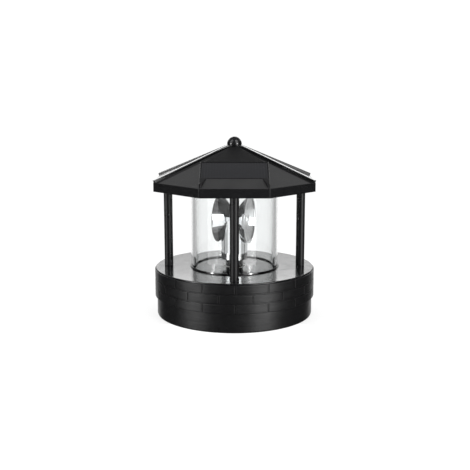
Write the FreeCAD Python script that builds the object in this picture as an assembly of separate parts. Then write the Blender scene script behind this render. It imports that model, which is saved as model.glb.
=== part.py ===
"""Lantern head of a garden lighthouse ornament: brick base, four posts, octagonal solar roof and a
rotating two-sided beacon inside a clear cylinder. Millimetres, +Z up, Z = 0 is the surface it
stands on, and the spin axis of the beacon is the Z axis. The front faces -Y."""
import FreeCAD, Part
import math
import os

Vec = FreeCAD.Vector
UP = Vec(0, 0, 1)
ALONG_X = Vec(1, 0, 0)
ORIGIN = Vec(0, 0, 0)

# ---- clearances and small common sizes
running_clearance = 0.06
moving_gap = 0.3
fit_gap = 0.2
wall = 2.2

# ---- base: brick band above a smooth skirt, with a lid that forms the deck
base_height = 36.0
band_radius = 60.0
skirt_step = 1.5
base_wall_thickness = 2.3
course_count = 3
course_height = 6.8
bricks_per_course = 16
mortar_width = 0.8
mortar_depth = 0.5
skirt_edge_round = 1.4
band_edge_round = 0.4
deck_thickness = 3.0
deck_lip = 1.0
deck_edge_step = 0.8
deck_edge_round = 0.5
cover_recess = 2.5
ledge_width = 2.2
ledge_height = 2.0
boss_inset = 6.2
boss_radius = 3.5
boss_bay_gap = 1.35

# ---- posts and the clear cylinder
post_count = 4
post_radius = 3.25
post_inset = 6.6
post_bore_radius = 1.7
post_spigot_radius = 2.5
post_spigot_length = 5.0
open_height = 59.3
ceiling_recess = 1.0
tube_radius = 32.7
tube_wall = 3.3
tube_groove_depth = 1.2
tube_groove_margin = 1.0
gasket_thickness = 0.4
locating_ring_height = 2.0

# ---- roof: octagon with a flat side to the front, eave band, four hip ribs and two panel trays
roof_sides = 8
roof_overhang = 8.6
eave_height = 6.5
roof_rise = 25.9
finial_seat_depth = 2.2
rib_width = 2.3
rib_height = 1.8
rib_inset = 0.6
tray_width = 48.0
tray_margin = 7.7
tray_length = 21.0
tray_raise = 3.2
tray_frame = 0.9
notch_half_width = 19.1
cheek_tip_width = 0.9
fairing_half_width = 20.7
fairing_depth = 8.0
panel_thickness = 1.2
panel_recess = 0.3
roof_boss_gap = 7.3
finial_radius = 5.5

# ---- screws
screw_radius = 1.25
screw_head_radius = 2.6
screw_head_height = 1.6
screw_grip = 8.0
drive_slot_width = 0.8
drive_slot_depth = 0.7

# ---- beacon: two mirrored horns on a hollow spindle, turned a little from the X axis
beacon_height = 35.8
beacon_turn = -16.0
horn_rim_radius = 17.9
horn_half_length = 12.2
horn_waist_radius = 6.0
horn_wall = 1.2
horn_bulge = 1.3
lens_thickness = 1.2
lens_inset = 0.6
neck_radius = 8.6
hub_radius = 6.4
hub_height = 5.5
spindle_radius = 5.0
spindle_bore_radius = 3.4
bush_wall = 3.0
bush_gear_gap = 1.7
lamp_radius = 2.5
lamp_body_height = 4.0
lamp_flange = 0.5
lamp_post_radius = 2.6
lamp_post_bore = 1.2
lamp_foot_radius = 4.5
lamp_foot_height = 1.0

# ---- drive train
gear_module = 0.6
pressure_angle = 25.0
addendum = 0.8
dedendum = 1.05
backlash = 0.10
pinion_teeth = 12
idler_teeth = 36
spindle_teeth = 48
idler_direction = 150.0
motor_direction = 200.0
plate_thickness = 2.0
plate_top = 19.0
plate_x = (-41.0, 25.0)
plate_bay_gap = 4.5
plate_board_gap = 4.0
standoff_radius = 3.0
standoff_inset = 5.0
gear_thickness = 3.0
spindle_gear_thickness = 4.0
idler_pinion_length = 6.0
axle_radius = 1.0
motor_radius = 10.0
motor_height = 11.0
motor_shaft_radius = 0.75
motor_hole_radius = 2.5

# ---- battery bay in the floor of the base
cell_radius = 7.1
cell_length = 50.0
cell_button_radius = 2.7
cell_button_height = 1.0
cell_edge_round = 0.7
bay_inset = 26.2
bay_half_length = 29.0
bay_half_width = 8.0
bay_wall = 1.5
contact_thickness = 0.5
contact_half_width = 5.0
spring_radius = 3.6
spring_wire = 0.35
spring_turns = 4
door_thickness = 2.0
door_pin_radius = 0.7
door_pin_length = 1.5
door_grip_count = 3
door_grip_width = 0.6

# ---- circuit board and power switch
board_half_width = 16.0
board_inset = 4.2
board_length = 26.0
board_level = 10.0
board_thickness = 1.6
chip_length = 8.8
chip_width = 4.0
chip_height = 1.5
coil_radius = 3.0
coil_height = 3.5
capacitor_radius = 2.5
capacitor_height = 7.0
switch_inset = 8.0
switch_half_length = 6.0
switch_half_width = 3.0
knob_length = 3.0
knob_width = 2.5
knob_drop = 1.3
switch_travel = 4.0
lead_radius = 0.8
lead_spacing = 0.04

# ---- radii, places and levels that follow from the sizes above
skirt_radius = band_radius - skirt_step
base_inner_radius = skirt_radius - base_wall_thickness
deck_edge_radius = band_radius - deck_edge_step
boss_circle_radius = base_inner_radius - boss_inset
post_circle_radius = base_inner_radius - post_inset
roof_apothem = post_circle_radius + roof_overhang
tray_near = roof_apothem - tray_margin
tray_far = tray_near - tray_length
roof_boss_circle_radius = tube_radius + roof_boss_gap
bay_centre_y = bay_inset - base_inner_radius
board_far = base_inner_radius - board_inset
board_near = board_far - board_length
switch_y = board_near + switch_inset
plate_y = (bay_centre_y + bay_half_width + bay_wall + plate_bay_gap, board_near - plate_board_gap)
deck_under = base_height - deck_thickness
wall_top = base_height - deck_lip
band_bottom = wall_top - course_count * course_height
cover_top = cover_recess + wall
eave_bottom = base_height + open_height
eave_top = eave_bottom + eave_height
roof_apex = eave_top + roof_rise
ceiling_under = eave_bottom + ceiling_recess
ceiling_top = ceiling_under + wall
finial_seat = roof_apex - finial_seat_depth
roof_slope = math.atan2(roof_rise, roof_apothem)
beacon_level = base_height + beacon_height
lamp_seat = beacon_level - lamp_body_height
hub_bottom = plate_top + lamp_foot_height + moving_gap
hub_top = base_height + moving_gap + hub_height
idler_top = plate_top + moving_gap + gear_thickness + idler_pinion_length
spindle_gear_level = idler_top - spindle_gear_thickness
bush_depth = base_height - idler_top - bush_gear_gap


def polar(radius, degrees, z=0.0):
    """The point at this radius and bearing from the spin axis."""
    angle = math.radians(degrees)
    return Vec(radius * math.cos(angle), radius * math.sin(angle), z)


def cylinder(radius, low, high, centre=ORIGIN):
    """An upright cylinder between two heights."""
    return Part.makeCylinder(radius, high - low, Vec(centre.x, centre.y, low))


def ring(outer, inner, low, high, centre=ORIGIN):
    """An upright tube between two heights."""
    return cylinder(outer, low, high, centre).cut(cylinder(inner, low, high, centre))


def box(x_span, y_span, z_span):
    """A box given by its two limits along each axis."""
    size = [span[1] - span[0] for span in (x_span, y_span, z_span)]
    return Part.makeBox(*size, Vec(x_span[0], y_span[0], z_span[0]))


def spun(points):
    """A solid of revolution about the spin axis."""
    face = Part.Face(Part.makePolygon(points + [points[0]]))
    return face.revolve(ORIGIN, UP, 360)


def around(shape, count, start=0.0):
    """Copies of a shape, evenly turned about the spin axis."""
    return [shape.rotated(ORIGIN, UP, start + index * 360.0 / count) for index in range(count)]


def octagon(apothem, low, high):
    """An upright octagonal prism with a flat side to the front."""
    circumradius = apothem / math.cos(math.pi / roof_sides)
    step = 360.0 / roof_sides
    corners = [polar(circumradius, step * (index + 0.5), low) for index in range(roof_sides + 1)]
    return Part.Face(Part.makePolygon(corners)).extrude(Vec(0, 0, high - low))


def pyramid(apothem, low, high):
    """An octagonal pyramid on the same plan as the prism."""
    circumradius = apothem / math.cos(math.pi / roof_sides)
    step = 360.0 / roof_sides
    corners = [polar(circumradius, step * (index + 0.5), low) for index in range(roof_sides)]
    apex = Vec(0, 0, high)
    faces = [Part.Face(Part.makePolygon(corners + [corners[0]]))]
    for index, corner in enumerate(corners):
        following = corners[(index + 1) % roof_sides]
        faces.append(Part.Face(Part.makePolygon([corner, following, apex, corner])))
    return Part.Solid(Part.Shell(faces))


def edges_at(shape, level, radius):
    """The circular edges of this radius at this height."""
    found = []
    for edge in shape.Edges:
        curve = edge.Curve
        if isinstance(curve, Part.Circle) and abs(curve.Center.z - level) < 1e-4:
            if abs(curve.Radius - radius) < 1e-4:
                found.append(edge)
    return found


def screw(place, direction, grip):
    """A pan-head screw: its head stands on the place and its shank runs along the direction."""
    head = Part.makeCylinder(screw_head_radius, screw_head_height, place, -direction)
    shank = Part.makeCylinder(screw_radius, grip, place, direction)
    slot_x = (-screw_head_radius, screw_head_radius)
    slot = box(slot_x, (-drive_slot_width / 2, drive_slot_width / 2), (-drive_slot_depth, drive_slot_depth))
    slot.Placement = FreeCAD.Placement(place - direction * screw_head_height, FreeCAD.Rotation())
    return head.fuse(shank).cut(slot).removeSplitter()


def drill(place, direction, depth):
    """The hole that a screw's shank fills."""
    return Part.makeCylinder(screw_radius, depth, place, direction)


# ---- gears

def involute(base_radius, radius):
    """The angle by which an involute has turned when it reaches this radius."""
    unwound = math.sqrt(max((radius / base_radius) ** 2 - 1.0, 0.0))
    return unwound - math.atan(unwound)


def gear(teeth, low, high, tooth_bearing):
    """A spur gear about the origin, with the middle of one tooth at this bearing in degrees."""
    pitch = gear_module * teeth / 2
    base_radius = pitch * math.cos(math.radians(pressure_angle))
    tip = pitch + addendum * gear_module
    root = pitch - dedendum * gear_module
    start = max(base_radius, root)
    half_thickness = (math.pi * gear_module / 2 - backlash) / 2 / pitch
    base_half_angle = half_thickness + involute(base_radius, pitch)
    foot_half_angle = base_half_angle - involute(base_radius, start)
    step = 2 * math.pi / teeth

    def at(radius, bearing):
        return Vec(radius * math.cos(bearing), radius * math.sin(bearing), low)

    edges = []
    for index in range(teeth):
        middle = math.radians(tooth_bearing) + index * step
        rising = []
        falling = []
        for radius in (start, (start + tip) / 2, tip):
            half_angle = base_half_angle - involute(base_radius, radius)
            rising.append(at(radius, middle - half_angle))
            falling.append(at(radius, middle + half_angle))
        left_foot = at(root, middle - foot_half_angle)
        right_foot = at(root, middle + foot_half_angle)
        next_foot = at(root, middle + step - foot_half_angle)
        if start > root:
            edges.append(Part.makeLine(left_foot, rising[0]))
        edges.append(Part.Arc(*rising).toShape())
        edges.append(Part.Arc(rising[-1], at(tip, middle), falling[-1]).toShape())
        edges.append(Part.Arc(*reversed(falling)).toShape())
        if start > root:
            edges.append(Part.makeLine(falling[0], right_foot))
        edges.append(Part.Arc(right_foot, at(root, middle + step / 2), next_foot).toShape())
    return Part.Face(Part.Wire(edges)).extrude(Vec(0, 0, high - low))


# ---- base

def boss_places(level):
    """Where the deck's screw bosses stand, beside the battery bay, at a level."""
    x = bay_half_length + bay_wall + boss_bay_gap + boss_radius
    y = math.sqrt(boss_circle_radius ** 2 - x ** 2)
    return [Vec(x, y, level), Vec(-x, y, level), Vec(-x, -y, level), Vec(x, -y, level)]


def standoff_places(level):
    """Where the drive plate hangs from the deck, at a level."""
    xs = (plate_x[0] + standoff_inset, plate_x[1] - standoff_inset)
    ys = (plate_y[0] + standoff_inset, plate_y[1] - standoff_inset)
    return [Vec(x, y, level) for x in xs for y in ys]


def post_places(level):
    """Post centres at a level, the hollow rear post first."""
    step = 360.0 / post_count
    return [polar(post_circle_radius, 90.0 + step * index, level) for index in range(post_count)]


def base_wall():
    """The round wall: a brick band with carved mortar lines above a plain skirt."""
    band = cylinder(band_radius, band_bottom, wall_top)
    skirt = cylinder(skirt_radius, 0, band_bottom + mortar_width)
    body = band.fuse(skirt).removeSplitter()
    body = body.makeFillet(skirt_edge_round, edges_at(body, 0, skirt_radius))
    rounded = edges_at(body, band_bottom, band_radius) + edges_at(body, wall_top, band_radius)
    body = body.makeFillet(band_edge_round, rounded)
    lines = []
    for course in range(1, course_count):
        level = band_bottom + course * course_height
        span = (level - mortar_width / 2, level + mortar_width / 2)
        lines.append(ring(band_radius + mortar_width, band_radius - mortar_depth, *span))
    joint_x = (band_radius - mortar_depth, band_radius + mortar_width)
    for course in range(course_count):
        low = band_bottom + course * course_height + (mortar_width / 2 if course else band_edge_round)
        high = band_bottom + (course + 1) * course_height - mortar_width / 2
        joint = box(joint_x, (-mortar_width / 2, mortar_width / 2), (low, high))
        half_brick = 180.0 / bricks_per_course
        lines += around(joint, bricks_per_course, 90.0 + half_brick * (course % 2))
    body = body.cut(lines)
    body = body.cut(cylinder(base_inner_radius, 0, wall_top))
    ledge = ring(base_inner_radius, base_inner_radius - ledge_width, cover_top, cover_top + ledge_height)
    return body.fuse(ledge).removeSplitter()


def deck_plate():
    """The lid of the base: deck, groove for the clear cylinder, bosses and standoffs below."""
    lip = cylinder(deck_edge_radius, wall_top, base_height)
    lip = lip.makeFillet(deck_edge_round, edges_at(lip, base_height, deck_edge_radius))
    body = lip.fuse(cylinder(base_inner_radius - fit_gap, deck_under, base_height - deck_edge_round))
    body = body.fuse([cylinder(boss_radius, cover_top, deck_under, place) for place in boss_places(0)])
    pillars = [cylinder(standoff_radius, plate_top, deck_under, place) for place in standoff_places(0)]
    seat_radius = spindle_radius + running_clearance + bush_wall
    pillars.append(cylinder(seat_radius + wall, base_height - bush_depth, deck_under))
    body = body.fuse(pillars)
    groove = ring(
        tube_radius + tube_groove_margin,
        tube_radius - tube_wall - fit_gap,
        base_height - tube_groove_depth,
        base_height,
    )
    holes = [groove, cylinder(seat_radius, base_height - bush_depth, base_height)]
    holes += [drill(place, UP, screw_grip) for place in boss_places(cover_top)]
    holes += [drill(place, UP, screw_grip) for place in standoff_places(plate_top)]
    rear, *others = post_places(deck_under)
    holes += [drill(place, UP, deck_thickness) for place in others]
    holes.append(cylinder(post_spigot_radius, deck_under, base_height, rear))
    return body.cut(holes).removeSplitter()


def tube_gasket():
    """A thin soft ring under the clear cylinder."""
    floor = base_height - tube_groove_depth
    return ring(tube_radius, tube_radius - tube_wall, floor, floor + gasket_thickness)


def clear_cylinder():
    """The clear cylinder, from its gasket up to the ceiling of the roof."""
    floor = base_height - tube_groove_depth + gasket_thickness
    return ring(tube_radius, tube_radius - tube_wall, floor, ceiling_under)


def door_span():
    """The door's limits along X and Y."""
    half_length = bay_half_length - fit_gap
    return (-half_length, half_length), (bay_centre_y - bay_half_width + moving_gap, door_axis().y)


def door_axis():
    """A point on the hinge line of the battery door."""
    level = cover_top - fit_gap / 2 - door_thickness / 2
    edge = bay_centre_y + bay_half_width - moving_gap
    return Vec(0, edge - door_thickness / 2, level)


def bottom_cover():
    """The floor plate: door opening with hinge bores, switch slot, screw holes and board posts."""
    body = cylinder(base_inner_radius - fit_gap, cover_recess, cover_top)
    board_middle = (board_near + board_far) / 2
    for x in (-board_half_width + wall, board_half_width - wall):
        body = body.fuse(cylinder(wall, cover_top, board_level, Vec(x, board_middle, 0)))
    opening_y = (bay_centre_y - bay_half_width, bay_centre_y + bay_half_width)
    holes = [box((-bay_half_length, bay_half_length), opening_y, (cover_recess, cover_top))]
    bore_half = bay_half_length + door_pin_length + fit_gap
    bore_start = door_axis() - ALONG_X * bore_half
    holes.append(Part.makeCylinder(door_pin_radius + running_clearance, 2 * bore_half, bore_start, ALONG_X))
    holes.append(knob_slot(cover_recess, cover_top))
    holes += [drill(place, UP, wall) for place in boss_places(cover_recess)]
    return body.cut(holes).removeSplitter()


def cover_screws():
    """The screws that hold the floor plate to the deck's bosses."""
    return [screw(place, UP, wall + screw_grip) for place in boss_places(cover_recess)]


# ---- battery bay

def battery_box():
    """The trough over the door opening, open below, which holds the cell."""
    inner_x = (-bay_half_length, bay_half_length)
    inner_y = (bay_centre_y - bay_half_width, bay_centre_y + bay_half_width)
    outer_x = (inner_x[0] - bay_wall, inner_x[1] + bay_wall)
    outer_y = (inner_y[0] - bay_wall, inner_y[1] + bay_wall)
    roof = cell_level() + cell_radius + moving_gap
    outer = box(outer_x, outer_y, (cover_top, roof + bay_wall))
    return outer.cut(box(inner_x, inner_y, (cover_top, roof)))


def cell_level():
    """Height of the cell's axis, just above the door."""
    return cover_top + moving_gap + cell_radius


def battery_cell():
    """The rechargeable cell, its button against the contact plate."""
    end = bay_half_length - contact_thickness
    can_length = cell_length - cell_button_height
    start = Vec(end - cell_length, bay_centre_y, cell_level())
    can = Part.makeCylinder(cell_radius, can_length, start, ALONG_X)
    rims = [edge for edge in can.Edges if isinstance(edge.Curve, Part.Circle)]
    can = can.makeFillet(cell_edge_round, rims)
    button_start = start + ALONG_X * can_length
    return can.fuse(Part.makeCylinder(cell_button_radius, cell_button_height, button_start, ALONG_X))


def contact_plate():
    """The flat contact at the button end."""
    x_span = (bay_half_length - contact_thickness, bay_half_length)
    y_span = (bay_centre_y - contact_half_width, bay_centre_y + contact_half_width)
    z_span = (cell_level() - contact_half_width, cell_level() + contact_half_width)
    return box(x_span, y_span, z_span)


def contact_spring():
    """The coil spring that presses on the flat end of the cell."""
    gap = 2 * bay_half_length - contact_thickness - cell_length
    rise = gap - 2 * spring_wire
    helix = Part.makeHelix(rise / spring_turns, rise, spring_radius)
    section = Part.Wire(Part.Circle(Vec(spring_radius, 0, 0), Vec(0, 1, 0), spring_wire).toShape())
    coil = Part.Wire(helix.Edges).makePipeShell([section], True, True)
    coil.Placement = FreeCAD.Placement(
        Vec(-bay_half_length + spring_wire, bay_centre_y, cell_level()),
        FreeCAD.Rotation(UP, ALONG_X),
    )
    return coil


def battery_door():
    """The door in the floor plate, on two small pins along its rear edge."""
    x_span, y_span = door_span()
    axis = door_axis()
    half = door_thickness / 2
    leaf = box(x_span, y_span, (axis.z - half, axis.z + half))
    barrel = Part.makeCylinder(half, x_span[1] - x_span[0], Vec(x_span[0], axis.y, axis.z), ALONG_X)
    pin_half = bay_half_length + door_pin_length
    pin_start = Vec(-pin_half, axis.y, axis.z)
    pin = Part.makeCylinder(door_pin_radius, 2 * pin_half, pin_start, ALONG_X)
    body = leaf.fuse([barrel, pin])
    grips = []
    grip_z = (axis.z - half, axis.z - half + door_grip_width)
    for index in range(door_grip_count):
        y = y_span[0] + (index + 1) * 2 * door_grip_width
        grips.append(box((-cell_radius, cell_radius), (y, y + door_grip_width), grip_z))
    return body.cut(grips).removeSplitter()


# ---- board and switch

def knob_slot(low, high):
    """The clear slot in which the switch knob travels."""
    half_x = (knob_length + switch_travel) / 2 + moving_gap
    half_y = knob_width / 2 + moving_gap
    return box((-half_x, half_x), (switch_y - half_y, switch_y + half_y), (low, high))


def circuit_board():
    """The charging and timing board, on the switch and two posts."""
    span = (-board_half_width, board_half_width)
    return box(span, (board_near, board_far), (board_level, board_level + board_thickness))


def board_components():
    """Chip, coil, electrolytic capacitor and sensor block on the board."""
    top = board_level + board_thickness
    middle = (board_near + board_far) / 2
    chip_y = (middle - chip_width / 2, middle + chip_width / 2)
    chip = box((-chip_length / 2, chip_length / 2), chip_y, (top, top + chip_height))
    side = board_half_width * 0.6
    coil = cylinder(coil_radius, top, top + coil_height, Vec(-side, middle, 0))
    front_row = middle - (board_far - board_near) / 4
    capacitor = cylinder(capacitor_radius, top, top + capacitor_height, Vec(side, front_row, 0))
    sensor_y = (middle, middle + chip_width)
    sensor = box((side - chip_width / 2, side + chip_width / 2), sensor_y, (top, top + chip_height))
    return [chip, coil, capacitor, sensor]


def switch_body():
    """The slide switch between the floor plate and the board."""
    y_span = (switch_y - switch_half_width, switch_y + switch_half_width)
    body = box((-switch_half_length, switch_half_length), y_span, (cover_top, board_level))
    return body.cut(knob_slot(cover_top, board_level - wall / 2))


def switch_knob():
    """The switch's sliding knob, in its OFF place."""
    centre = -switch_travel / 2
    x_span = (centre - knob_length / 2, centre + knob_length / 2)
    y_span = (switch_y - knob_width / 2, switch_y + knob_width / 2)
    return box(x_span, y_span, (cover_recess - knob_drop, board_level - wall / 2 - moving_gap))


# ---- drive train

def motor_centre():
    """The motor's axis: beside the idler, one mesh away."""
    reach = gear_module * (idler_teeth + pinion_teeth) / 2
    return idler_place() + polar(reach, motor_direction)


def idler_place():
    """The idler's axis: beside the spindle, one mesh away."""
    reach = gear_module * (spindle_teeth + pinion_teeth) / 2
    return polar(reach, idler_direction)


def drive_plate():
    """The plate under the deck that carries the motor, the idler axle and the lamp post."""
    body = box(plate_x, plate_y, (plate_top - plate_thickness, plate_top))
    holes = [drill(place, UP, plate_thickness) for place in standoff_places(plate_top - plate_thickness)]
    low = plate_top - plate_thickness
    holes.append(cylinder(motor_hole_radius, low, plate_top, motor_centre()))
    holes.append(cylinder(axle_radius, low, plate_top, idler_place()))
    holes.append(cylinder(lamp_post_radius, low, plate_top))
    return body.cut(holes)


def plate_screws():
    """The screws that hold the drive plate to the deck's standoffs."""
    level = plate_top - plate_thickness
    return [screw(place, UP, plate_thickness + screw_grip) for place in standoff_places(level)]


def motor_can():
    """The small motor under the drive plate."""
    top = plate_top - plate_thickness
    can = cylinder(motor_radius, top - motor_height, top, motor_centre())
    bore = cylinder(motor_shaft_radius + running_clearance, top - motor_height / 2, top, motor_centre())
    return can.cut(bore)


def motor_shaft():
    """The motor's shaft, up through the drive plate."""
    low = plate_top - plate_thickness - motor_height / 2 + moving_gap
    return cylinder(motor_shaft_radius, low, plate_top + 2 * moving_gap + gear_thickness, motor_centre())


def motor_pinion():
    """The pinion on the motor shaft, in mesh with the idler's wheel."""
    low = plate_top + moving_gap
    gap_bearing = motor_direction + 180.0 + 180.0 / pinion_teeth
    pinion = gear(pinion_teeth, low, low + gear_thickness, gap_bearing)
    pinion = pinion.cut(cylinder(motor_shaft_radius, low, low + gear_thickness))
    return pinion.translated(motor_centre())


def idler_gear():
    """The idler: a wide wheel below and a long pinion above, in one piece."""
    low = plate_top + moving_gap
    middle = low + gear_thickness
    high = middle + idler_pinion_length
    wheel = gear(idler_teeth, low, middle, motor_direction)
    gap_bearing = idler_direction + 180.0 + 180.0 / pinion_teeth
    body = wheel.fuse(gear(pinion_teeth, middle, high, gap_bearing))
    return body.cut(cylinder(axle_radius + running_clearance, low, high)).translated(idler_place())


def idler_axle():
    """The fixed pin that the idler turns on, with a head that keeps it there."""
    top = plate_top + 2 * moving_gap + gear_thickness + idler_pinion_length
    pin = cylinder(axle_radius, plate_top - plate_thickness, top, idler_place())
    return pin.fuse(cylinder(2 * axle_radius, top, top + axle_radius, idler_place()))


def spindle_gear():
    """The gear at the foot of the spindle."""
    high = spindle_gear_level + spindle_gear_thickness
    return gear(spindle_teeth, spindle_gear_level, high, idler_direction).cut(
        cylinder(spindle_radius, spindle_gear_level, high)
    )


def spindle_bush():
    """The plain bearing in the deck."""
    inner = spindle_radius + running_clearance
    return ring(inner + bush_wall, inner, base_height - bush_depth, base_height)


def spindle_hub():
    """The hollow spindle and the hub above the deck that carries the beacon."""
    points = [
        Vec(spindle_bore_radius, 0, hub_bottom),
        Vec(spindle_radius, 0, hub_bottom),
        Vec(spindle_radius, 0, base_height + moving_gap),
        Vec(hub_radius, 0, base_height + moving_gap),
        Vec(hub_radius, 0, hub_top),
        Vec(spindle_bore_radius, 0, hub_top),
    ]
    return spun(points)


# ---- beacon and lamp

def horn_solid(offset):
    """Both horns as one filled solid about the X axis, thinned by an offset."""
    rim = horn_rim_radius - offset
    waist = horn_waist_radius - offset
    middle = Vec(horn_half_length / 2, (rim + waist) / 2 + horn_bulge, 0)
    curve = Part.Arc(Vec(0, waist, 0), middle, Vec(horn_half_length, rim, 0)).toShape()
    edges = [
        Part.makeLine(Vec(0, 0, 0), Vec(0, waist, 0)),
        curve,
        Part.makeLine(Vec(horn_half_length, rim, 0), Vec(horn_half_length, 0, 0)),
        Part.makeLine(Vec(horn_half_length, 0, 0), Vec(0, 0, 0)),
    ]
    right = Part.Face(Part.Wire(edges)).revolve(ORIGIN, ALONG_X, 360)
    return right.fuse(right.mirror(ORIGIN, ALONG_X)).removeSplitter()


def beacon_placed(shape):
    """Lift a shape from the horns' own frame to its place, at the beacon's rest angle."""
    return shape.rotated(ORIGIN, UP, beacon_turn).translated(Vec(0, 0, beacon_level))


def reflector_halves():
    """The bright double horn and its neck, moulded as a front and a rear half."""
    neck = ring(neck_radius, spindle_bore_radius, hub_top - beacon_level, 0)
    body = horn_solid(0).fuse(neck).cut(horn_solid(horn_wall))
    body = body.cut(cylinder(spindle_bore_radius, hub_top - beacon_level, 0))
    reach = 2 * horn_rim_radius
    halves = []
    for y_span in ((-reach, 0), (0, reach)):
        half = body.common(box((-reach, reach), y_span, (-reach, reach)))
        halves.append(beacon_placed(half))
    return halves


def reflector_lens(side):
    """The clear cover just inside a horn's rim: flat inside, shallow dome outside."""
    plane = horn_half_length - lens_inset - lens_thickness
    plug = Part.makeCylinder(horn_rim_radius, lens_thickness, Vec(plane, 0, 0), ALONG_X)
    lens = plug.common(horn_solid(horn_wall))
    return beacon_placed(lens.rotated(ORIGIN, UP, 0 if side > 0 else 180))


def lamp_post():
    """The fixed hollow post inside the spindle, with a foot on the drive plate."""
    points = [
        Vec(lamp_post_bore, 0, plate_top - plate_thickness),
        Vec(lamp_post_radius, 0, plate_top - plate_thickness),
        Vec(lamp_post_radius, 0, plate_top),
        Vec(lamp_foot_radius, 0, plate_top),
        Vec(lamp_foot_radius, 0, plate_top + lamp_foot_height),
        Vec(lamp_post_radius, 0, plate_top + lamp_foot_height),
        Vec(lamp_post_radius, 0, lamp_seat),
        Vec(lamp_post_bore, 0, lamp_seat),
    ]
    return spun(points)


def lamp():
    """The light-emitting diode: flange, body and round top."""
    flange = cylinder(lamp_radius + lamp_flange / 2, lamp_seat, lamp_seat + lamp_flange)
    dome = Part.makeSphere(lamp_radius, Vec(0, 0, beacon_level))
    return flange.fuse([cylinder(lamp_radius, lamp_seat, beacon_level), dome]).removeSplitter()


# ---- posts

def solid_posts():
    """The three solid posts: left, front and right, each with a screw hole at both ends."""
    posts = []
    for place in post_places(base_height)[1:]:
        post = cylinder(post_radius, base_height, ceiling_under, place)
        top = Vec(place.x, place.y, ceiling_under)
        posts.append(post.cut([drill(place, UP, screw_grip), drill(top, -UP, screw_grip)]))
    return posts


def rear_post():
    """The hollow post that takes the panel leads, with a spigot at each end."""
    place = post_places(0)[0]
    body = cylinder(post_radius, base_height, ceiling_under, place)
    spigot_low = base_height - post_spigot_length
    spigot = cylinder(post_spigot_radius, spigot_low, ceiling_top, place)
    return body.fuse(spigot).cut(cylinder(post_bore_radius, spigot_low, ceiling_top, place)).removeSplitter()


def post_foot_screws():
    """Screws up through the deck into the solid posts."""
    return [screw(place, UP, deck_thickness + screw_grip) for place in post_places(deck_under)[1:]]


def post_head_screws():
    """Screws down through the ceiling into the solid posts."""
    return [screw(place, -UP, wall + screw_grip) for place in post_places(ceiling_top)[1:]]


def panel_leads():
    """The two insulated leads from the rear panel, straight down the hollow post to the board."""
    place = post_places(0)[0]
    offset = lead_radius + lead_spacing / 2
    low = board_level + board_thickness
    leads = []
    for side in (-offset, offset):
        leads.append(cylinder(lead_radius, low, lead_top(), place + Vec(side, 0, 0)))
    return leads


def lead_top():
    """Where the leads end, just under the inside of the roof."""
    inner_apothem = roof_apothem - wall
    inner_tangent = (roof_apex - 2 * wall - (eave_top - wall)) / inner_apothem
    distance = post_circle_radius + lead_radius
    return eave_top - wall + (inner_apothem - distance) * inner_tangent - moving_gap


# ---- roof

def roof_level(distance):
    """Height of the front or rear roof face at this distance from the spin axis."""
    return eave_top + (roof_apothem - distance) * math.tan(roof_slope)


def roof_boss_places(level):
    """Where the roof's screw bosses stand, halfway between the posts, at a level."""
    step = 360.0 / post_count
    return [polar(roof_boss_circle_radius, step * (index + 0.5), level) for index in range(post_count)]


def roof_outer():
    """The filled outer shape of eave band and roof faces, flat under the finial."""
    body = octagon(roof_apothem, eave_bottom, eave_top).fuse(pyramid(roof_apothem, eave_top, roof_apex))
    reach = 2 * roof_apothem
    above = box((-reach, reach), (-reach, reach), (finial_seat, finial_seat + reach))
    return body.cut(above).removeSplitter()


def roof_inner():
    """The hollow under the roof, one wall inside the outer shape."""
    low = octagon(roof_apothem - wall, eave_bottom, eave_top - wall)
    return low.fuse(pyramid(roof_apothem - wall, eave_top - wall, roof_apex - 2 * wall)).removeSplitter()


def hip_rib():
    """One raised rib along a hip, from under the finial to its eave corner."""
    circumradius = roof_apothem / math.cos(math.pi / roof_sides)
    slope = math.atan2(roof_rise, circumradius)
    length = math.hypot(roof_rise, circumradius) - rib_inset
    bar = box((0, length), (-rib_width / 2, rib_width / 2), (-rib_height, rib_height))
    long_top = [edge for edge in bar.Edges if edge.Length > length / 2 and edge.CenterOfMass.z > 0]
    bar = bar.makeFillet(rib_height / 4, long_top)
    bar = bar.rotated(ORIGIN, Vec(0, 1, 0), math.degrees(slope)).translated(Vec(0, 0, roof_apex))
    return bar.rotated(ORIGIN, UP, 180.0 / roof_sides)


def on_slope(shape, side):
    """Lay a shape on the front (-1) or rear (+1) roof face: its X-Y plane becomes the face and
    its origin the middle of the panel."""
    middle = (tray_near + tray_far) / 2
    laid = shape.rotated(ORIGIN, ALONG_X, math.degrees(roof_slope))
    laid = laid.translated(Vec(0, -middle, roof_level(middle)))
    return laid if side < 0 else laid.rotated(ORIGIN, UP, 180)


def tray_half_length():
    """Half the panel tray's length up the slope."""
    return (tray_near - tray_far) / 2 / math.cos(roof_slope)


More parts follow.
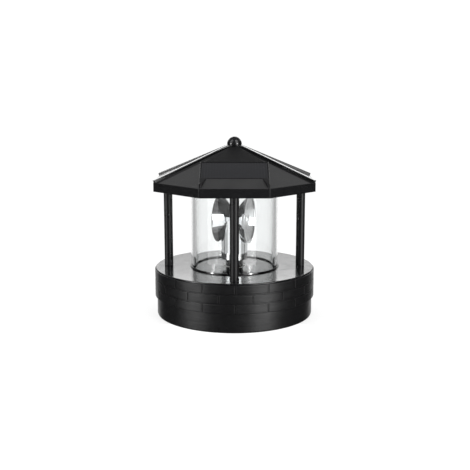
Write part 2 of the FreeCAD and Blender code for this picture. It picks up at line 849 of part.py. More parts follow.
def panel_tray(side):
    """The raised tray from its upper edge down to the eave, notched below the panel, and the
    fairing that carries it up to the peak."""
    half_x, half_y = tray_width / 2, tray_half_length()
    eave_y = -(roof_apothem - (tray_near + tray_far) / 2) / math.cos(roof_slope)
    deep = tray_far / 2
    plate = box((-half_x, half_x), (2 * eave_y, half_y), (-deep, tray_raise))
    tip = half_x - cheek_tip_width
    flare = [(-notch_half_width, -half_y), (-tip, eave_y), (-tip, 2 * eave_y)]
    outline = flare + [(-x, y) for x, y in reversed(flare)]
    corners = [Vec(x, y, -deep) for x, y in outline + outline[:1]]
    notch = Part.Face(Part.makePolygon(corners)).extrude(Vec(0, 0, deep + 2 * tray_raise))
    plate = on_slope(plate.cut(notch), side).common(octagon(roof_apothem, eave_bottom, roof_apex))
    top_edge = on_slope(Part.Vertex(0, half_y, tray_raise), -1).Point
    left = Vec(-fairing_half_width, top_edge.y, top_edge.z)
    right = Vec(fairing_half_width, top_edge.y, top_edge.z)
    top = Part.makePolygon([left, right, Vec(0, 0, roof_apex), left])
    fairing = Part.Face(top).extrude(Vec(0, 0, -fairing_depth))
    if side > 0:
        fairing = fairing.rotated(ORIGIN, UP, 180)
    return plate.fuse(fairing)


def panel_pocket(margin, low, high):
    """A slab over the middle of the tray, inside its frame by a margin."""
    half_x = tray_width / 2 - tray_frame - margin
    half_y = tray_half_length() - tray_frame - margin
    return box((-half_x, half_x), (-half_y, half_y), (low, high))


def roof_shell():
    """The roof moulding: eave band, eight faces, ribs on the hips beside the two plain side faces,
    two panel trays and screw bosses."""
    outer = roof_outer()
    reach = 2 * roof_apothem
    keep = cylinder(reach, eave_top - rib_height, finial_seat)
    hips = around(hip_rib(), roof_sides)
    centres = [hip.BoundBox.Center for hip in hips]
    ribs = [hip.common(keep) for hip, centre in zip(hips, centres) if abs(centre.x) > abs(centre.y)]
    body = outer.fuse(ribs + [panel_tray(side) for side in (-1, 1)])
    bosses = []
    for place in roof_boss_places(0):
        bosses.append(cylinder(boss_radius, ceiling_top, finial_seat, place).common(outer))
    body = body.cut(roof_inner()).common(cylinder(reach, eave_bottom, finial_seat)).fuse(bosses)
    pocket = panel_pocket(0, tray_raise - panel_recess - panel_thickness, tray_raise)
    cuts = [on_slope(pocket, side) for side in (-1, 1)]
    cuts += [drill(place, UP, screw_grip) for place in roof_boss_places(ceiling_top)]
    cuts.append(cylinder(screw_radius, roof_apex - 3 * wall, finial_seat))
    return body.cut(cuts).removeSplitter()


def solar_panel(side):
    """The dark laminate in its tray."""
    top = tray_raise - panel_recess
    return on_slope(panel_pocket(fit_gap, top - panel_thickness, top), side)


def roof_ceiling():
    """The plate that closes the roof from below and centres the clear cylinder."""
    body = octagon(roof_apothem - wall - fit_gap, ceiling_under, ceiling_top)
    outer = tube_radius - tube_wall - fit_gap
    body = body.fuse(ring(outer, outer - wall, ceiling_under - locating_ring_height, ceiling_under))
    holes = [drill(place, UP, wall) for place in roof_boss_places(ceiling_under)]
    rear, *others = post_places(ceiling_under)
    holes += [drill(place, UP, wall) for place in others]
    holes.append(cylinder(post_spigot_radius, ceiling_under, ceiling_top, rear))
    return body.cut(holes).removeSplitter()


def roof_screws():
    """Screws up through the ceiling into the roof's bosses."""
    return [screw(place, UP, wall + screw_grip) for place in roof_boss_places(ceiling_under)]


def finial_ball():
    """The ball on the peak, flat where it stands on the roof."""
    ball = Part.makeSphere(finial_radius, Vec(0, 0, roof_apex))
    reach = 2 * finial_radius
    ball = ball.cut(box((-reach, reach), (-reach, reach), (finial_seat - reach, finial_seat)))
    return ball.cut(drill(Vec(0, 0, finial_seat), UP, finial_radius))


def finial_screw():
    """The screw up through the peak into the ball."""
    under = finial_screw_seat()
    return screw(Vec(0, 0, under), UP, finial_seat - under + finial_radius)


def finial_screw_seat():
    """Where the screw's head meets the inside of the peak."""
    return roof_apex - 2 * wall - screw_head_radius * math.tan(roof_slope)


# ---- every piece, by the name of its node

def pieces():
    """Each node's name with its solid or solids."""
    front_half, rear_half = reflector_halves()
    left_post, front_post, right_post = solid_posts()
    return {
        "base_wall": base_wall(),
        "deck_plate": deck_plate(),
        "bottom_cover": bottom_cover(),
        "cover_screws": cover_screws(),
        "battery_box": battery_box(),
        "battery_cell": battery_cell(),
        "battery_contact_plate": contact_plate(),
        "battery_contact_spring": contact_spring(),
        "battery_door": battery_door(),
        "circuit_board": circuit_board(),
        "board_components": board_components(),
        "switch_body": switch_body(),
        "switch_knob": switch_knob(),
        "drive_plate": drive_plate(),
        "drive_plate_screws": plate_screws(),
        "motor_can": motor_can(),
        "motor_shaft": motor_shaft(),
        "motor_pinion": motor_pinion(),
        "idler_gear": idler_gear(),
        "idler_axle": idler_axle(),
        "spindle_gear": spindle_gear(),
        "spindle_bush": spindle_bush(),
        "spindle_hub": spindle_hub(),
        "reflector_front_half": front_half,
        "reflector_rear_half": rear_half,
        "reflector_lens_right": reflector_lens(1),
        "reflector_lens_left": reflector_lens(-1),
        "lamp_post": lamp_post(),
        "lamp": lamp(),
        "clear_cylinder": clear_cylinder(),
        "cylinder_gasket": tube_gasket(),
        "post_rear": rear_post(),
        "post_left": left_post,
        "post_front": front_post,
        "post_right": right_post,
        "post_foot_screws": post_foot_screws(),
        "post_head_screws": post_head_screws(),
        "panel_leads": panel_leads(),
        "roof_shell": roof_shell(),
        "roof_ceiling": roof_ceiling(),
        "roof_screws": roof_screws(),
        "solar_panel_front": solar_panel(-1),
        "solar_panel_rear": solar_panel(1),
        "finial_ball": finial_ball(),
        "finial_screw": finial_screw(),
    }


os.makedirs("parts", exist_ok=True)
for name, piece in pieces().items():
    shape = Part.makeCompound(piece) if isinstance(piece, list) else piece
    shape.exportStep("parts/" + name + ".step")
    print(name, len(shape.Solids), "solids", round(shape.Volume, 1), "mm3", shape.isValid())
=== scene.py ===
"""Lantern head of a garden lighthouse ornament: the finishes and finished shapes of its pieces."""
import math

import bpy
from bpy.props import FloatProperty, FloatVectorProperty, IntProperty, PointerProperty
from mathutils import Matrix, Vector


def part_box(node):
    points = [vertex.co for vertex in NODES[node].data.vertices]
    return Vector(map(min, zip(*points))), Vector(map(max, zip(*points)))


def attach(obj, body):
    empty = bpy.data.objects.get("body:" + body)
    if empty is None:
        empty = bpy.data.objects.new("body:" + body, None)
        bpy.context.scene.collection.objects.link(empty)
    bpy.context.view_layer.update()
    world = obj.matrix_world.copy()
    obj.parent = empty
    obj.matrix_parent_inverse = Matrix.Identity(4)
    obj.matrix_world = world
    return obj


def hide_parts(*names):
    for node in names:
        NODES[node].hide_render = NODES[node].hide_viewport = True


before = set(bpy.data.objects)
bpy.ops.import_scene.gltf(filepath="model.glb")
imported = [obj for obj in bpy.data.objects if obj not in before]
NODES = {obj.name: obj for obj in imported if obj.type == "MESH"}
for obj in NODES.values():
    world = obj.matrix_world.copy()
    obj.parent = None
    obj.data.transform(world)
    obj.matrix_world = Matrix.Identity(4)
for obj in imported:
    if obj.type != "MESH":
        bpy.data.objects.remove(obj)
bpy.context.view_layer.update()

bl_info = {
    "name": "Garden lighthouse lantern head",
    "version": (1, 0, 0),
    "blender": (4, 5, 0),
    "location": "3D View > Sidebar > Lantern",
    "description": "Models and finishes a rotating-beacon lantern head with a brick base",
    "category": "Add Mesh",
}

MM = 0.001


def top_of(node):
    """Height of a node's upper face."""
    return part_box(node)[1][2]


def foot_of(node):
    """Height of a node's lower face."""
    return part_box(node)[0][2]


def half_width(node):
    """Half a node's width along X."""
    return (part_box(node)[1][0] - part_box(node)[0][0]) / 2


def middle_of(node):
    """The middle of a node's box."""
    low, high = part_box(node)
    return (Vector(low) + Vector(high)) / 2


# ---- sizes and colours that a user would change

class BaseSizes(bpy.types.PropertyGroup):
    """The brick base and its lid."""
    skirt_radius: FloatProperty(
        name="Skirt radius", description="Radius of the smooth wall below the bricks",
        default=58.5 * MM, unit="LENGTH")
    course_height: FloatProperty(
        name="Course height", description="Height of one course of bricks with its mortar",
        default=6.8 * MM, unit="LENGTH")
    courses: IntProperty(name="Courses", description="Courses of bricks", default=3, min=1)
    bricks: IntProperty(name="Bricks", description="Bricks in one course", default=16, min=3)
    mortar_width: FloatProperty(
        name="Mortar width", description="Width of the carved mortar lines",
        default=0.8 * MM, unit="LENGTH")
    mortar_depth: FloatProperty(
        name="Mortar depth", description="Depth of the carved mortar lines",
        default=0.5 * MM, unit="LENGTH")
    inner_radius: FloatProperty(
        name="Inner radius", description="Inside of the round wall",
        default=56.2 * MM, unit="LENGTH")
    edge_round: FloatProperty(
        name="Rim rounding", description="Rounding of the lid's rim",
        default=0.35 * MM, unit="LENGTH")
    lid_thickness: FloatProperty(
        name="Lid thickness", description="Thickness of the glossy lid",
        default=3.0 * MM, unit="LENGTH")
    ring_height: FloatProperty(
        name="Ring height", description="Height of the raised ring round the cylinder's foot",
        default=1.1 * MM, unit="LENGTH")
    tube_wall: FloatProperty(
        name="Cylinder wall", description="Thickness of the clear cylinder",
        default=3.3 * MM, unit="LENGTH")
    post_radius: FloatProperty(
        name="Post radius", description="Radius of a post", default=3.25 * MM, unit="LENGTH")


class RoofSizes(bpy.types.PropertyGroup):
    """The octagonal roof."""
    sides: IntProperty(name="Sides", description="Sides of the roof", default=8, min=3)
    eave_height: FloatProperty(
        name="Eave height", description="Height of the upright band round the eave",
        default=6.5 * MM, unit="LENGTH")
    rise: FloatProperty(
        name="Rise", description="Height of the peak above the eave band",
        default=25.9 * MM, unit="LENGTH")
    apothem: FloatProperty(
        name="Half width", description="Half the width across two flat sides",
        default=58.2 * MM, unit="LENGTH")
    wall: FloatProperty(
        name="Wall", description="Thickness of the roof moulding", default=2.2 * MM, unit="LENGTH")
    rib_width: FloatProperty(
        name="Rib width", description="Width of a hip rib", default=3.6 * MM, unit="LENGTH")
    rib_height: FloatProperty(
        name="Rib height", description="Height of a hip rib above the hip",
        default=1.5 * MM, unit="LENGTH")
    tray_width: FloatProperty(
        name="Tray width", description="Width of a solar panel's tray",
        default=48.0 * MM, unit="LENGTH")
    tray_near: FloatProperty(
        name="Tray lower edge", description="Plan distance from the axis to the tray's lower edge",
        default=50.5 * MM, unit="LENGTH")
    tray_far: FloatProperty(
        name="Tray upper edge", description="Plan distance from the axis to the tray's upper edge",
        default=29.5 * MM, unit="LENGTH")
    tray_raise: FloatProperty(
        name="Tray height", description="Height of the tray above the roof face",
        default=3.2 * MM, unit="LENGTH")
    tray_frame: FloatProperty(
        name="Tray frame", description="Width of the frame round a panel",
        default=0.9 * MM, unit="LENGTH")
    notch_half_width: FloatProperty(
        name="Notch half width", description="Half the width of the notch below a panel",
        default=19.1 * MM, unit="LENGTH")
    cheek_tip: FloatProperty(
        name="Cheek tip", description="Width of the cheeks beside the notch at the eave",
        default=0.9 * MM, unit="LENGTH")
    fairing_half_width: FloatProperty(
        name="Fairing half width", description="Half the width of the fairing above a panel",
        default=20.7 * MM, unit="LENGTH")


class BeaconSizes(bpy.types.PropertyGroup):
    """The rotating beacon."""
    turn: FloatProperty(
        name="Rest angle", description="Turn of the horns from the X axis at rest",
        default=math.radians(-16.0), subtype="ANGLE")
    rim_radius: FloatProperty(
        name="Rim radius", description="Radius of a horn's mouth", default=17.9 * MM, unit="LENGTH")
    half_length: FloatProperty(
        name="Half length", description="From the spin axis to a horn's mouth",
        default=12.2 * MM, unit="LENGTH")
    waist_radius: FloatProperty(
        name="Waist radius", description="Radius where the horns meet",
        default=6.0 * MM, unit="LENGTH")
    bulge: FloatProperty(
        name="Bulge", description="How far a horn swells from a straight cone",
        default=1.3 * MM, unit="LENGTH")
    wall: FloatProperty(
        name="Wall", description="Thickness of the plated wall", default=1.2 * MM, unit="LENGTH")
    neck_radius: FloatProperty(
        name="Neck radius", description="Radius of the plated neck",
        default=10.0 * MM, unit="LENGTH")
    lens_rings: IntProperty(
        name="Lens rings", description="Rings of prisms on a lens", default=9, min=1)


class Finishes(bpy.types.PropertyGroup):
    """The colours."""
    gloss_black: FloatVectorProperty(
        name="Glossy black", description="Deck, posts and roof", subtype="COLOR",
        default=(0.0075, 0.0075, 0.008), min=0, max=1)
    satin_black: FloatVectorProperty(
        name="Satin black", description="Brick base", subtype="COLOR",
        default=(0.0055, 0.0055, 0.006), min=0, max=1)
    plating: FloatVectorProperty(
        name="Plating", description="Bright plating of the beacon", subtype="COLOR",
        default=(0.86, 0.87, 0.88), min=0, max=1)
    clear: FloatVectorProperty(
        name="Clear plastic", description="Cylinder and lenses", subtype="COLOR",
        default=(0.975, 0.985, 0.985), min=0, max=1)
    panel: FloatVectorProperty(
        name="Solar panel", description="Dark solar laminate", subtype="COLOR",
        default=(0.006, 0.0062, 0.0078), min=0, max=1)


SETTINGS = {
    "lantern_base": BaseSizes,
    "lantern_roof": RoofSizes,
    "lantern_beacon": BeaconSizes,
    "lantern_finish": Finishes,
}


# ---- modelling helpers

TURN_STEPS = 160        # sections in a full turn of the large round pieces
MERGE = 1e-7            # points nearer than this are one point


def clear_selection():
    """Back to object mode with nothing selected."""
    if bpy.context.object and bpy.context.object.mode != "OBJECT":
        bpy.ops.object.mode_set(mode="OBJECT")
    bpy.ops.object.select_all(action="DESELECT")


def pick(*objects):
    """Select just these objects, the first one active."""
    clear_selection()
    for item in objects:
        item.select_set(True)
    bpy.context.view_layer.objects.active = objects[0]


def named(name):
    """Name the active object and its mesh."""
    item = bpy.context.object
    item.name = name
    item.data.name = name
    return item


def settle(item):
    """Bake an object's place, turn and scale into its mesh."""
    pick(item)
    bpy.ops.object.transform_apply(location=True, rotation=True, scale=True)
    return item


def placed(item, turn=(0, 0, 0), place=(0, 0, 0)):
    """Turn and move an object, and bake that into its mesh."""
    item.rotation_euler = turn
    item.location = place
    return settle(item)


def select_everything():
    """In edit mode, select the whole mesh."""
    bpy.ops.mesh.select_all(action="SELECT")


def merge_doubles():
    """In edit mode, merge points that coincide and leave everything selected."""
    select_everything()
    bpy.ops.mesh.remove_doubles(threshold=MERGE)
    select_everything()


def outline_piece(name, outline, closed=True):
    """A wire in the X-Z half plane through (radius, height) points, drawn by extruding a vertex;
    left in edit mode with everything selected."""
    clear_selection()
    bpy.ops.mesh.primitive_plane_add(size=MM)
    item = named(name)
    bpy.ops.object.mode_set(mode="EDIT")
    select_everything()
    bpy.ops.mesh.merge(type="CENTER")
    radius, height = outline[0]
    bpy.ops.transform.translate(value=(radius, 0, height))
    points = list(outline[1:]) + ([outline[0]] if closed else [])
    for next_radius, next_height in points:
        step = (next_radius - radius, 0, next_height - height)
        bpy.ops.mesh.extrude_region_move(TRANSFORM_OT_translate={"value": step})
        radius, height = next_radius, next_height
    merge_doubles()
    return item


def spun(name, outline, angle=math.tau, steps=TURN_STEPS, closed=True):
    """An outline spun about the spin axis, with its ends capped if it stops short."""
    item = outline_piece(name, outline, closed)
    bpy.ops.mesh.spin(steps=steps, angle=angle, center=(0, 0, 0), axis=(0, 0, 1))
    merge_doubles()
    if angle < math.tau:
        bpy.ops.mesh.fill_holes(sides=0)
        select_everything()
    bpy.ops.mesh.normals_make_consistent(inside=False)
    bpy.ops.object.mode_set(mode="OBJECT")
    return item


def round_edges(item, width, segments=3, angle=35.0):
    """Round an object's sharp edges with an applied bevel."""
    pick(item)
    bevel = item.modifiers.new("Rounding", "BEVEL")
    bevel.width = width
    bevel.segments = segments
    bevel.limit_method = "ANGLE"
    bevel.angle_limit = math.radians(angle)
    bpy.ops.object.modifier_apply(modifier=bevel.name)
    return item


def smooth(item, angle=35.0):
    """Smooth shading up to an angle, with large faces kept true beside their rounded edges."""
    pick(item)
    bpy.ops.object.shade_smooth_by_angle(angle=math.radians(angle))
    weighted = item.modifiers.new("True faces", "WEIGHTED_NORMAL")
    weighted.keep_sharp = True
    weighted.weight = 100
    bpy.ops.object.modifier_apply(modifier=weighted.name)
    return item


def block(name, size, place):
    """A box of a full size round a place, as the start of a piece."""
    clear_selection()
    bpy.ops.mesh.primitive_cube_add(size=1, location=place)
    item = named(name)
    item.scale = size
    return settle(item)


def discard(item):
    """Delete an object that has done its work."""
    pick(item)
    bpy.ops.object.delete()


def copy_of(item, name, place=(0, 0, 0), turn=0.0):
    """A copy with its own mesh, turned about the spin axis and moved."""
    pick(item)
    bpy.ops.object.duplicate()
    return placed(named(name), (0, 0, turn), place)


def joined(name, items):
    """Several objects as one."""
    pick(*items)
    bpy.ops.object.join()
    return named(name)


def carved(item, cutter):
    """Take the cutter's shape out of an object, and the cutter away."""
    pick(item)
    cut = item.modifiers.new("Cut", "BOOLEAN")
    cut.operation = "DIFFERENCE"
    cut.solver = "EXACT"
    cut.object = cutter
    bpy.ops.object.modifier_apply(modifier=cut.name)
    discard(cutter)
    return item


def select_faces(item, wanted):
    """In edit mode, select just the faces whose normal passes a test."""
    bpy.ops.mesh.select_all(action="DESELECT")
    bpy.ops.object.mode_set(mode="OBJECT")
    for face in item.data.polygons:
        face.select = wanted(face.normal)
    bpy.ops.object.mode_set(mode="EDIT")


def finish_piece(item, finish, body, nodes):
    """Give a piece its finish and its body, and hide the nodes it stands for."""
    item.data.materials.clear()
    item.data.materials.append(material_for(finish))
    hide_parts(*nodes)
    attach(item, body)


# ---- materials

def new_material(name):
    """A new material with its node tree and its shader."""
    material = bpy.data.materials.new(name)
    material.use_nodes = True
    tree = material.node_tree
    shader = tree.nodes["Principled BSDF"]
    return material, tree, shader


def noise(tree, scale, detail=4.0, roughness=0.55, stretch=(1, 1, 1)):
    """Object-space noise, finer along an axis whose stretch is larger."""
    place = tree.nodes.new("ShaderNodeTexCoord")
    mapping = tree.nodes.new("ShaderNodeMapping")
    mapping.inputs["Scale"].default_value = stretch
    tree.links.new(place.outputs["Object"], mapping.inputs["Vector"])
    texture = tree.nodes.new("ShaderNodeTexNoise")
    texture.inputs["Scale"].default_value = scale
    texture.inputs["Detail"].default_value = detail
    texture.inputs["Roughness"].default_value = roughness
    tree.links.new(mapping.outputs["Vector"], texture.inputs["Vector"])
    return texture.outputs["Fac"]


def remap(tree, value, given, wanted):
    """Remap a value from one range to another, held at the second range's ends."""
    node = tree.nodes.new("ShaderNodeMapRange")
    node.inputs["From Min"].default_value, node.inputs["From Max"].default_value = given
    node.inputs["To Min"].default_value, node.inputs["To Max"].default_value = wanted
    tree.links.new(value, node.inputs["Value"])
    return node.outputs["Result"]


def bump(tree, shader, height, strength, distance):
    """Drive a shader's normal from a height."""
    node = tree.nodes.new("ShaderNodeBump")
    node.inputs["Strength"].default_value = strength
    node.inputs["Distance"].default_value = distance
    tree.links.new(height, node.inputs["Height"])
    tree.links.new(node.outputs["Normal"], shader.inputs["Normal"])


def tinted(tree, shader, colour, variation, pattern):
    """Vary a base colour between two close tones by a pattern."""
    mix = tree.nodes.new("ShaderNodeMix")
    mix.data_type = "RGBA"
    mix.inputs["A"].default_value = (*[part * (1 - variation) for part in colour], 1)
    mix.inputs["B"].default_value = (*[min(part * (1 + variation), 1) for part in colour], 1)
    tree.links.new(pattern, mix.inputs["Factor"])
    tree.links.new(mix.outputs["Result"], shader.inputs["Base Color"])


def moulded_plastic(
        name, colour, roughness, spread, grain, grain_depth, specular=0.5, stretch=(1, 1, 1)):
    """Moulded plastic: fine grain, uneven gloss and faint cloudiness. The roughness varies by
    its spread, and the grain has a scale, a depth and a stretch along each axis."""
    material, tree, shader = new_material(name)
    shader.inputs["Specular IOR Level"].default_value = specular
    tinted(tree, shader, colour, 0.25, noise(tree, scale=90.0))
    cloud = noise(tree, scale=160.0, detail=5.0, roughness=0.6)
    rough = remap(tree, cloud, (0.3, 0.7), (roughness - spread, roughness + spread))
    tree.links.new(rough, shader.inputs["Roughness"])
    fine = noise(tree, scale=grain, detail=3.0, stretch=stretch)
    bump(tree, shader, fine, strength=0.35, distance=grain_depth)
    return material


def bright_metal(name, colour, roughness, spread):
    """Bright metal or plating with faint haze."""
    material, tree, shader = new_material(name)
    shader.inputs["Metallic"].default_value = 1.0
    tinted(tree, shader, colour, 0.03, noise(tree, scale=200.0))
    haze = noise(tree, scale=350.0)
    rough = remap(tree, haze, (0.35, 0.75), (roughness, roughness + spread))
    tree.links.new(rough, shader.inputs["Roughness"])
    ripple = noise(tree, scale=260.0, detail=2.0)
    bump(tree, shader, ripple, strength=0.12, distance=0.02 * MM)
    return material


def clear_plastic(name, colour, roughness):
    """Clear moulded plastic with the faintest flow lines."""
    material, tree, shader = new_material(name)
    shader.inputs["Transmission Weight"].default_value = 1.0
    shader.inputs["IOR"].default_value = 1.49
    tinted(tree, shader, colour, 0.01, noise(tree, scale=60.0))
    haze = noise(tree, scale=300.0)
    rough = remap(tree, haze, (0.5, 0.8), (roughness, roughness + 0.02))
    tree.links.new(rough, shader.inputs["Roughness"])
    flow = noise(tree, scale=40.0, detail=1.0)
    bump(tree, shader, flow, strength=0.05, distance=0.02 * MM)
    return material


def solar_laminate(name, colour):
    """Dark cells under a smooth clear face, with fine silver fingers across them."""
    material, tree, shader = new_material(name)
    shader.inputs["Coat Weight"].default_value = 0.6
    shader.inputs["Coat Roughness"].default_value = 0.06
    place = tree.nodes.new("ShaderNodeTexCoord")
    wave = tree.nodes.new("ShaderNodeTexWave")
    wave.bands_direction = "X"
    wave.inputs["Scale"].default_value = 160.0
    wave.inputs["Distortion"].default_value = 0.0
    tree.links.new(place.outputs["Object"], wave.inputs["Vector"])
    fingers = remap(tree, wave.outputs["Fac"], (0.93, 1.0), (0.0, 0.35))
    mix = tree.nodes.new("ShaderNodeMix")
    mix.data_type = "RGBA"
    mix.inputs["A"].default_value = (*colour, 1)
    mix.inputs["B"].default_value = (0.05, 0.05, 0.055, 1)
    tree.links.new(fingers, mix.inputs["Factor"])
    tree.links.new(mix.outputs["Result"], shader.inputs["Base Color"])
    rough = remap(tree, noise(tree, scale=220.0), (0.3, 0.7), (0.10, 0.2))
    tree.links.new(rough, shader.inputs["Roughness"])
    fine = noise(tree, scale=900.0, detail=2.0)
    bump(tree, shader, fine, strength=0.15, distance=0.02 * MM)
    return material


def moulded_finishes():
    """The moulded plastics: name, colour, roughness and its spread, grain scale and depth in
    millimetres, and where they are not plain, specular level and stretch."""
    colours = bpy.context.scene.lantern_finish
    gloss, satin = tuple(colours.gloss_black), tuple(colours.satin_black)
    return {
        "roof": ("Roof gloss black", gloss, 0.15, 0.05, 900.0, 0.02),
        # fairing: the roof's black made dull, with its reflection nearly off, as painted shade on
        # that part of the roof
        "fairing": ("Fairing dull black", (0.007, 0.007, 0.0073), 0.5, 0.05, 900.0, 0.03, 0.1),
        # notch floor: a lighter black than the rest of the roof moulding, as painted light in the
        # recess
        "notch": ("Notch satin black", (0.019, 0.019, 0.0195), 0.4, 0.05, 900.0, 0.03),
        "deck": ("Deck gloss black", gloss, 0.13, 0.05, 160.0, 0.08, 0.65, (0.5, 1, 1)),
        "post": ("Post gloss black", gloss, 0.30, 0.05, 900.0, 0.02, 0.4),
        "wall": ("Brick satin black", satin, 0.34, 0.06, 70.0, 0.3, 0.5, (1, 1, 8)),
        "inner": ("Inner black plastic", (0.02, 0.02, 0.02), 0.5, 0.06, 1200.0, 0.05),
        "gear": ("Gear white", (0.72, 0.72, 0.69), 0.42, 0.06, 1200.0, 0.03),
        "board": ("Board green", (0.01, 0.10, 0.035), 0.3, 0.08, 1500.0, 0.03),
        "component": ("Component black", (0.015, 0.015, 0.016), 0.45, 0.08, 1500.0, 0.03),
        "cell": ("Cell sleeve", (0.04, 0.20, 0.08), 0.28, 0.06, 700.0, 0.03),
        "rubber": ("Soft rubber", (0.02, 0.02, 0.02), 0.7, 0.08, 1500.0, 0.06),
        "lead": ("Lead sleeve", (0.28, 0.02, 0.02), 0.45, 0.08, 1200.0, 0.04),
        "knob": ("Knob grey", (0.06, 0.06, 0.06), 0.4, 0.06, 1500.0, 0.05),
    }


def bright_finishes():
    """The bright metals: name, colour, roughness and its spread."""
    colours = bpy.context.scene.lantern_finish
    return {
        "plating": ("Bright plating", tuple(colours.plating), 0.03, 0.05),
        "steel": ("Screw steel", (0.56, 0.56, 0.57), 0.22, 0.15),
        "contact": ("Contact strip", (0.72, 0.66, 0.5), 0.25, 0.15),
    }


def clear_finishes():
    """The clear plastics: name, colour and roughness."""
    colours = bpy.context.scene.lantern_finish
    return {
        "clear": ("Clear cylinder", tuple(colours.clear), 0.0),
        "lens": ("Clear lens", tuple(colours.clear), 0.0),
        "lamp": ("Lamp epoxy", (0.97, 0.97, 0.9), 0.05),
    }


MADE = {}       # materials by key


def made_finish(key):
    """Make the material with this key."""
    moulded, bright = moulded_finishes(), bright_finishes()
    if key in moulded:
        name, colour, roughness, spread, grain, depth, *rest = moulded[key]
        return moulded_plastic(name, colour, roughness, spread, grain, depth * MM, *rest)
    if key in bright:
        return bright_metal(*bright[key])
    if key == "panel":
        return solar_laminate("Solar laminate", tuple(bpy.context.scene.lantern_finish.panel))
    return clear_plastic(*clear_finishes()[key])


def material_for(key):
    """The material with this key, made on first use."""
    if key not in MADE:
        MADE[key] = made_finish(key)
    return MADE[key]


# the pieces whose shape is kept, by finish
NODE_FINISHES = {
    "wall": ("bottom_cover", "battery_door"),
    "deck": ("roof_ceiling",),
    "inner": ("battery_box", "drive_plate", "lamp_post"),
    "component": ("board_components", "switch_body"),
    "knob": ("switch_knob",),
    "gear": ("motor_pinion", "idler_gear", "spindle_gear", "spindle_bush"),
    "steel": ("cover_screws", "drive_plate_screws", "motor_can", "motor_shaft", "idler_axle",
              "post_foot_screws", "post_head_screws", "roof_screws", "finial_screw"),
    "contact": ("battery_contact_plate", "battery_contact_spring"),
    "board": ("circuit_board",),
    "cell": ("battery_cell",),
    "rubber": ("cylinder_gasket",),
    "lead": ("panel_leads",),
    "lamp": ("lamp",),
}


# ---- base

def wall_outline(sizes):
    """The round wall without its bricks: skirt, step, mortar face and inside."""
    top = top_of("base_wall")
    mortar_radius = half_width("base_wall") - sizes.mortar_depth
    band_foot = top - sizes.courses * sizes.course_height
    wide, narrow = 1.4 * MM, 0.4 * MM     # the rounded foot, as two short chamfers
    return [
        (sizes.inner_radius, 0),
        (sizes.skirt_radius - wide, 0),
        (sizes.skirt_radius - narrow, narrow),
        (sizes.skirt_radius, wide),
        (sizes.skirt_radius, band_foot),
        (mortar_radius, band_foot),
        (mortar_radius, top),
        (sizes.inner_radius, top),
    ]


BRICK_ROUND = 0.38 * MM
BRICK_ROOT = 3              # how deep a brick reaches, in mortar depths


def brick(sizes, low, high, start):
    """One moulded brick of the band: a curved pad with rounded edges."""
    outer = half_width("base_wall")
    inner = outer - BRICK_ROOT * sizes.mortar_depth
    pitch = math.tau / sizes.bricks
    angle = pitch - sizes.mortar_width / outer
    outline = [(inner, low), (outer, low), (outer, high), (inner, high)]
    pad = spun("brick", outline, angle=angle, steps=10)
    round_edges(pad, BRICK_ROUND, angle=50.0)
    return placed(pad, (0, 0, start - angle / 2))


def make_base_wall():
    """The brick band over the smooth skirt."""
    sizes = bpy.context.scene.lantern_base
    wall = spun("brick_base", wall_outline(sizes))
    pieces = [wall]
    pitch = math.tau / sizes.bricks
    band_foot = top_of("base_wall") - sizes.courses * sizes.course_height
    joint = sizes.mortar_width / 2
    for course in range(sizes.courses):
        low = band_foot + course * sizes.course_height
        high = band_foot + (course + 1) * sizes.course_height
        if course > 0:
            low += joint
        if course < sizes.courses - 1:
            high -= joint
        half_bond = pitch / 2 * ((course + 1) % 2)
        pad = brick(sizes, low, high, math.pi / 2 + half_bond)
        pieces.append(pad)
        for index in range(1, sizes.bricks):
            pieces.append(copy_of(pad, "brick", turn=index * pitch))
    base = smooth(joined("brick_base", pieces))
    finish_piece(base, "wall", "root", ["base_wall"])


BUSH_BOSS_WALL = 2.2 * MM
LID_CLEARANCE = 0.2 * MM
RING_SPREAD = (0.9 * MM, 0.7 * MM, 0.1 * MM)     # past the cylinder: foot, top and bore
SCREW_BOSS = (3.5 * MM, 50.0 * MM)               # radius, and distance from the axis
PLATE_BOSS = (3.0 * MM, 5.0 * MM)                # radius, and inset from the plate's edges


def lid_outline(sizes):
    """The lid: rounded lip, ring and groove for the cylinder, boss for the bush."""
    top = top_of("deck_plate")
    under = top - sizes.lid_thickness
    lip_radius, lip_foot = half_width("deck_plate"), top_of("base_wall")
    plug_radius = sizes.inner_radius - LID_CLEARANCE
    tube_outer = half_width("clear_cylinder")
    groove_inner = tube_outer - sizes.tube_wall - LID_CLEARANCE
    groove_floor = foot_of("cylinder_gasket")
    ring_foot, ring_top, ring_bore = (tube_outer + spread for spread in RING_SPREAD)
    seat, boss_foot = half_width("spindle_bush"), foot_of("spindle_bush")
    return [
        (seat, boss_foot),
        (seat + BUSH_BOSS_WALL, boss_foot),
        (seat + BUSH_BOSS_WALL, under),
        (plug_radius, under),
        (plug_radius, lip_foot),
        (lip_radius, lip_foot),
        (lip_radius, top - sizes.edge_round),
        (lip_radius - sizes.edge_round, top),
        (ring_foot, top),
        (ring_top, top + sizes.ring_height),
        (ring_bore, top + sizes.ring_height),
        (ring_bore, groove_floor),
        (groove_inner, groove_floor),
        (groove_inner, top),
        (seat, top),
    ]


def pillar(place, radius, low, high):
    """A plain round pillar with a rounded foot."""
    edge = 0.3 * MM
    outline = [(0, low), (radius - edge, low), (radius, low + edge), (radius, high), (0, high)]
    return placed(spun("pillar", outline, steps=24, closed=False), place=place)


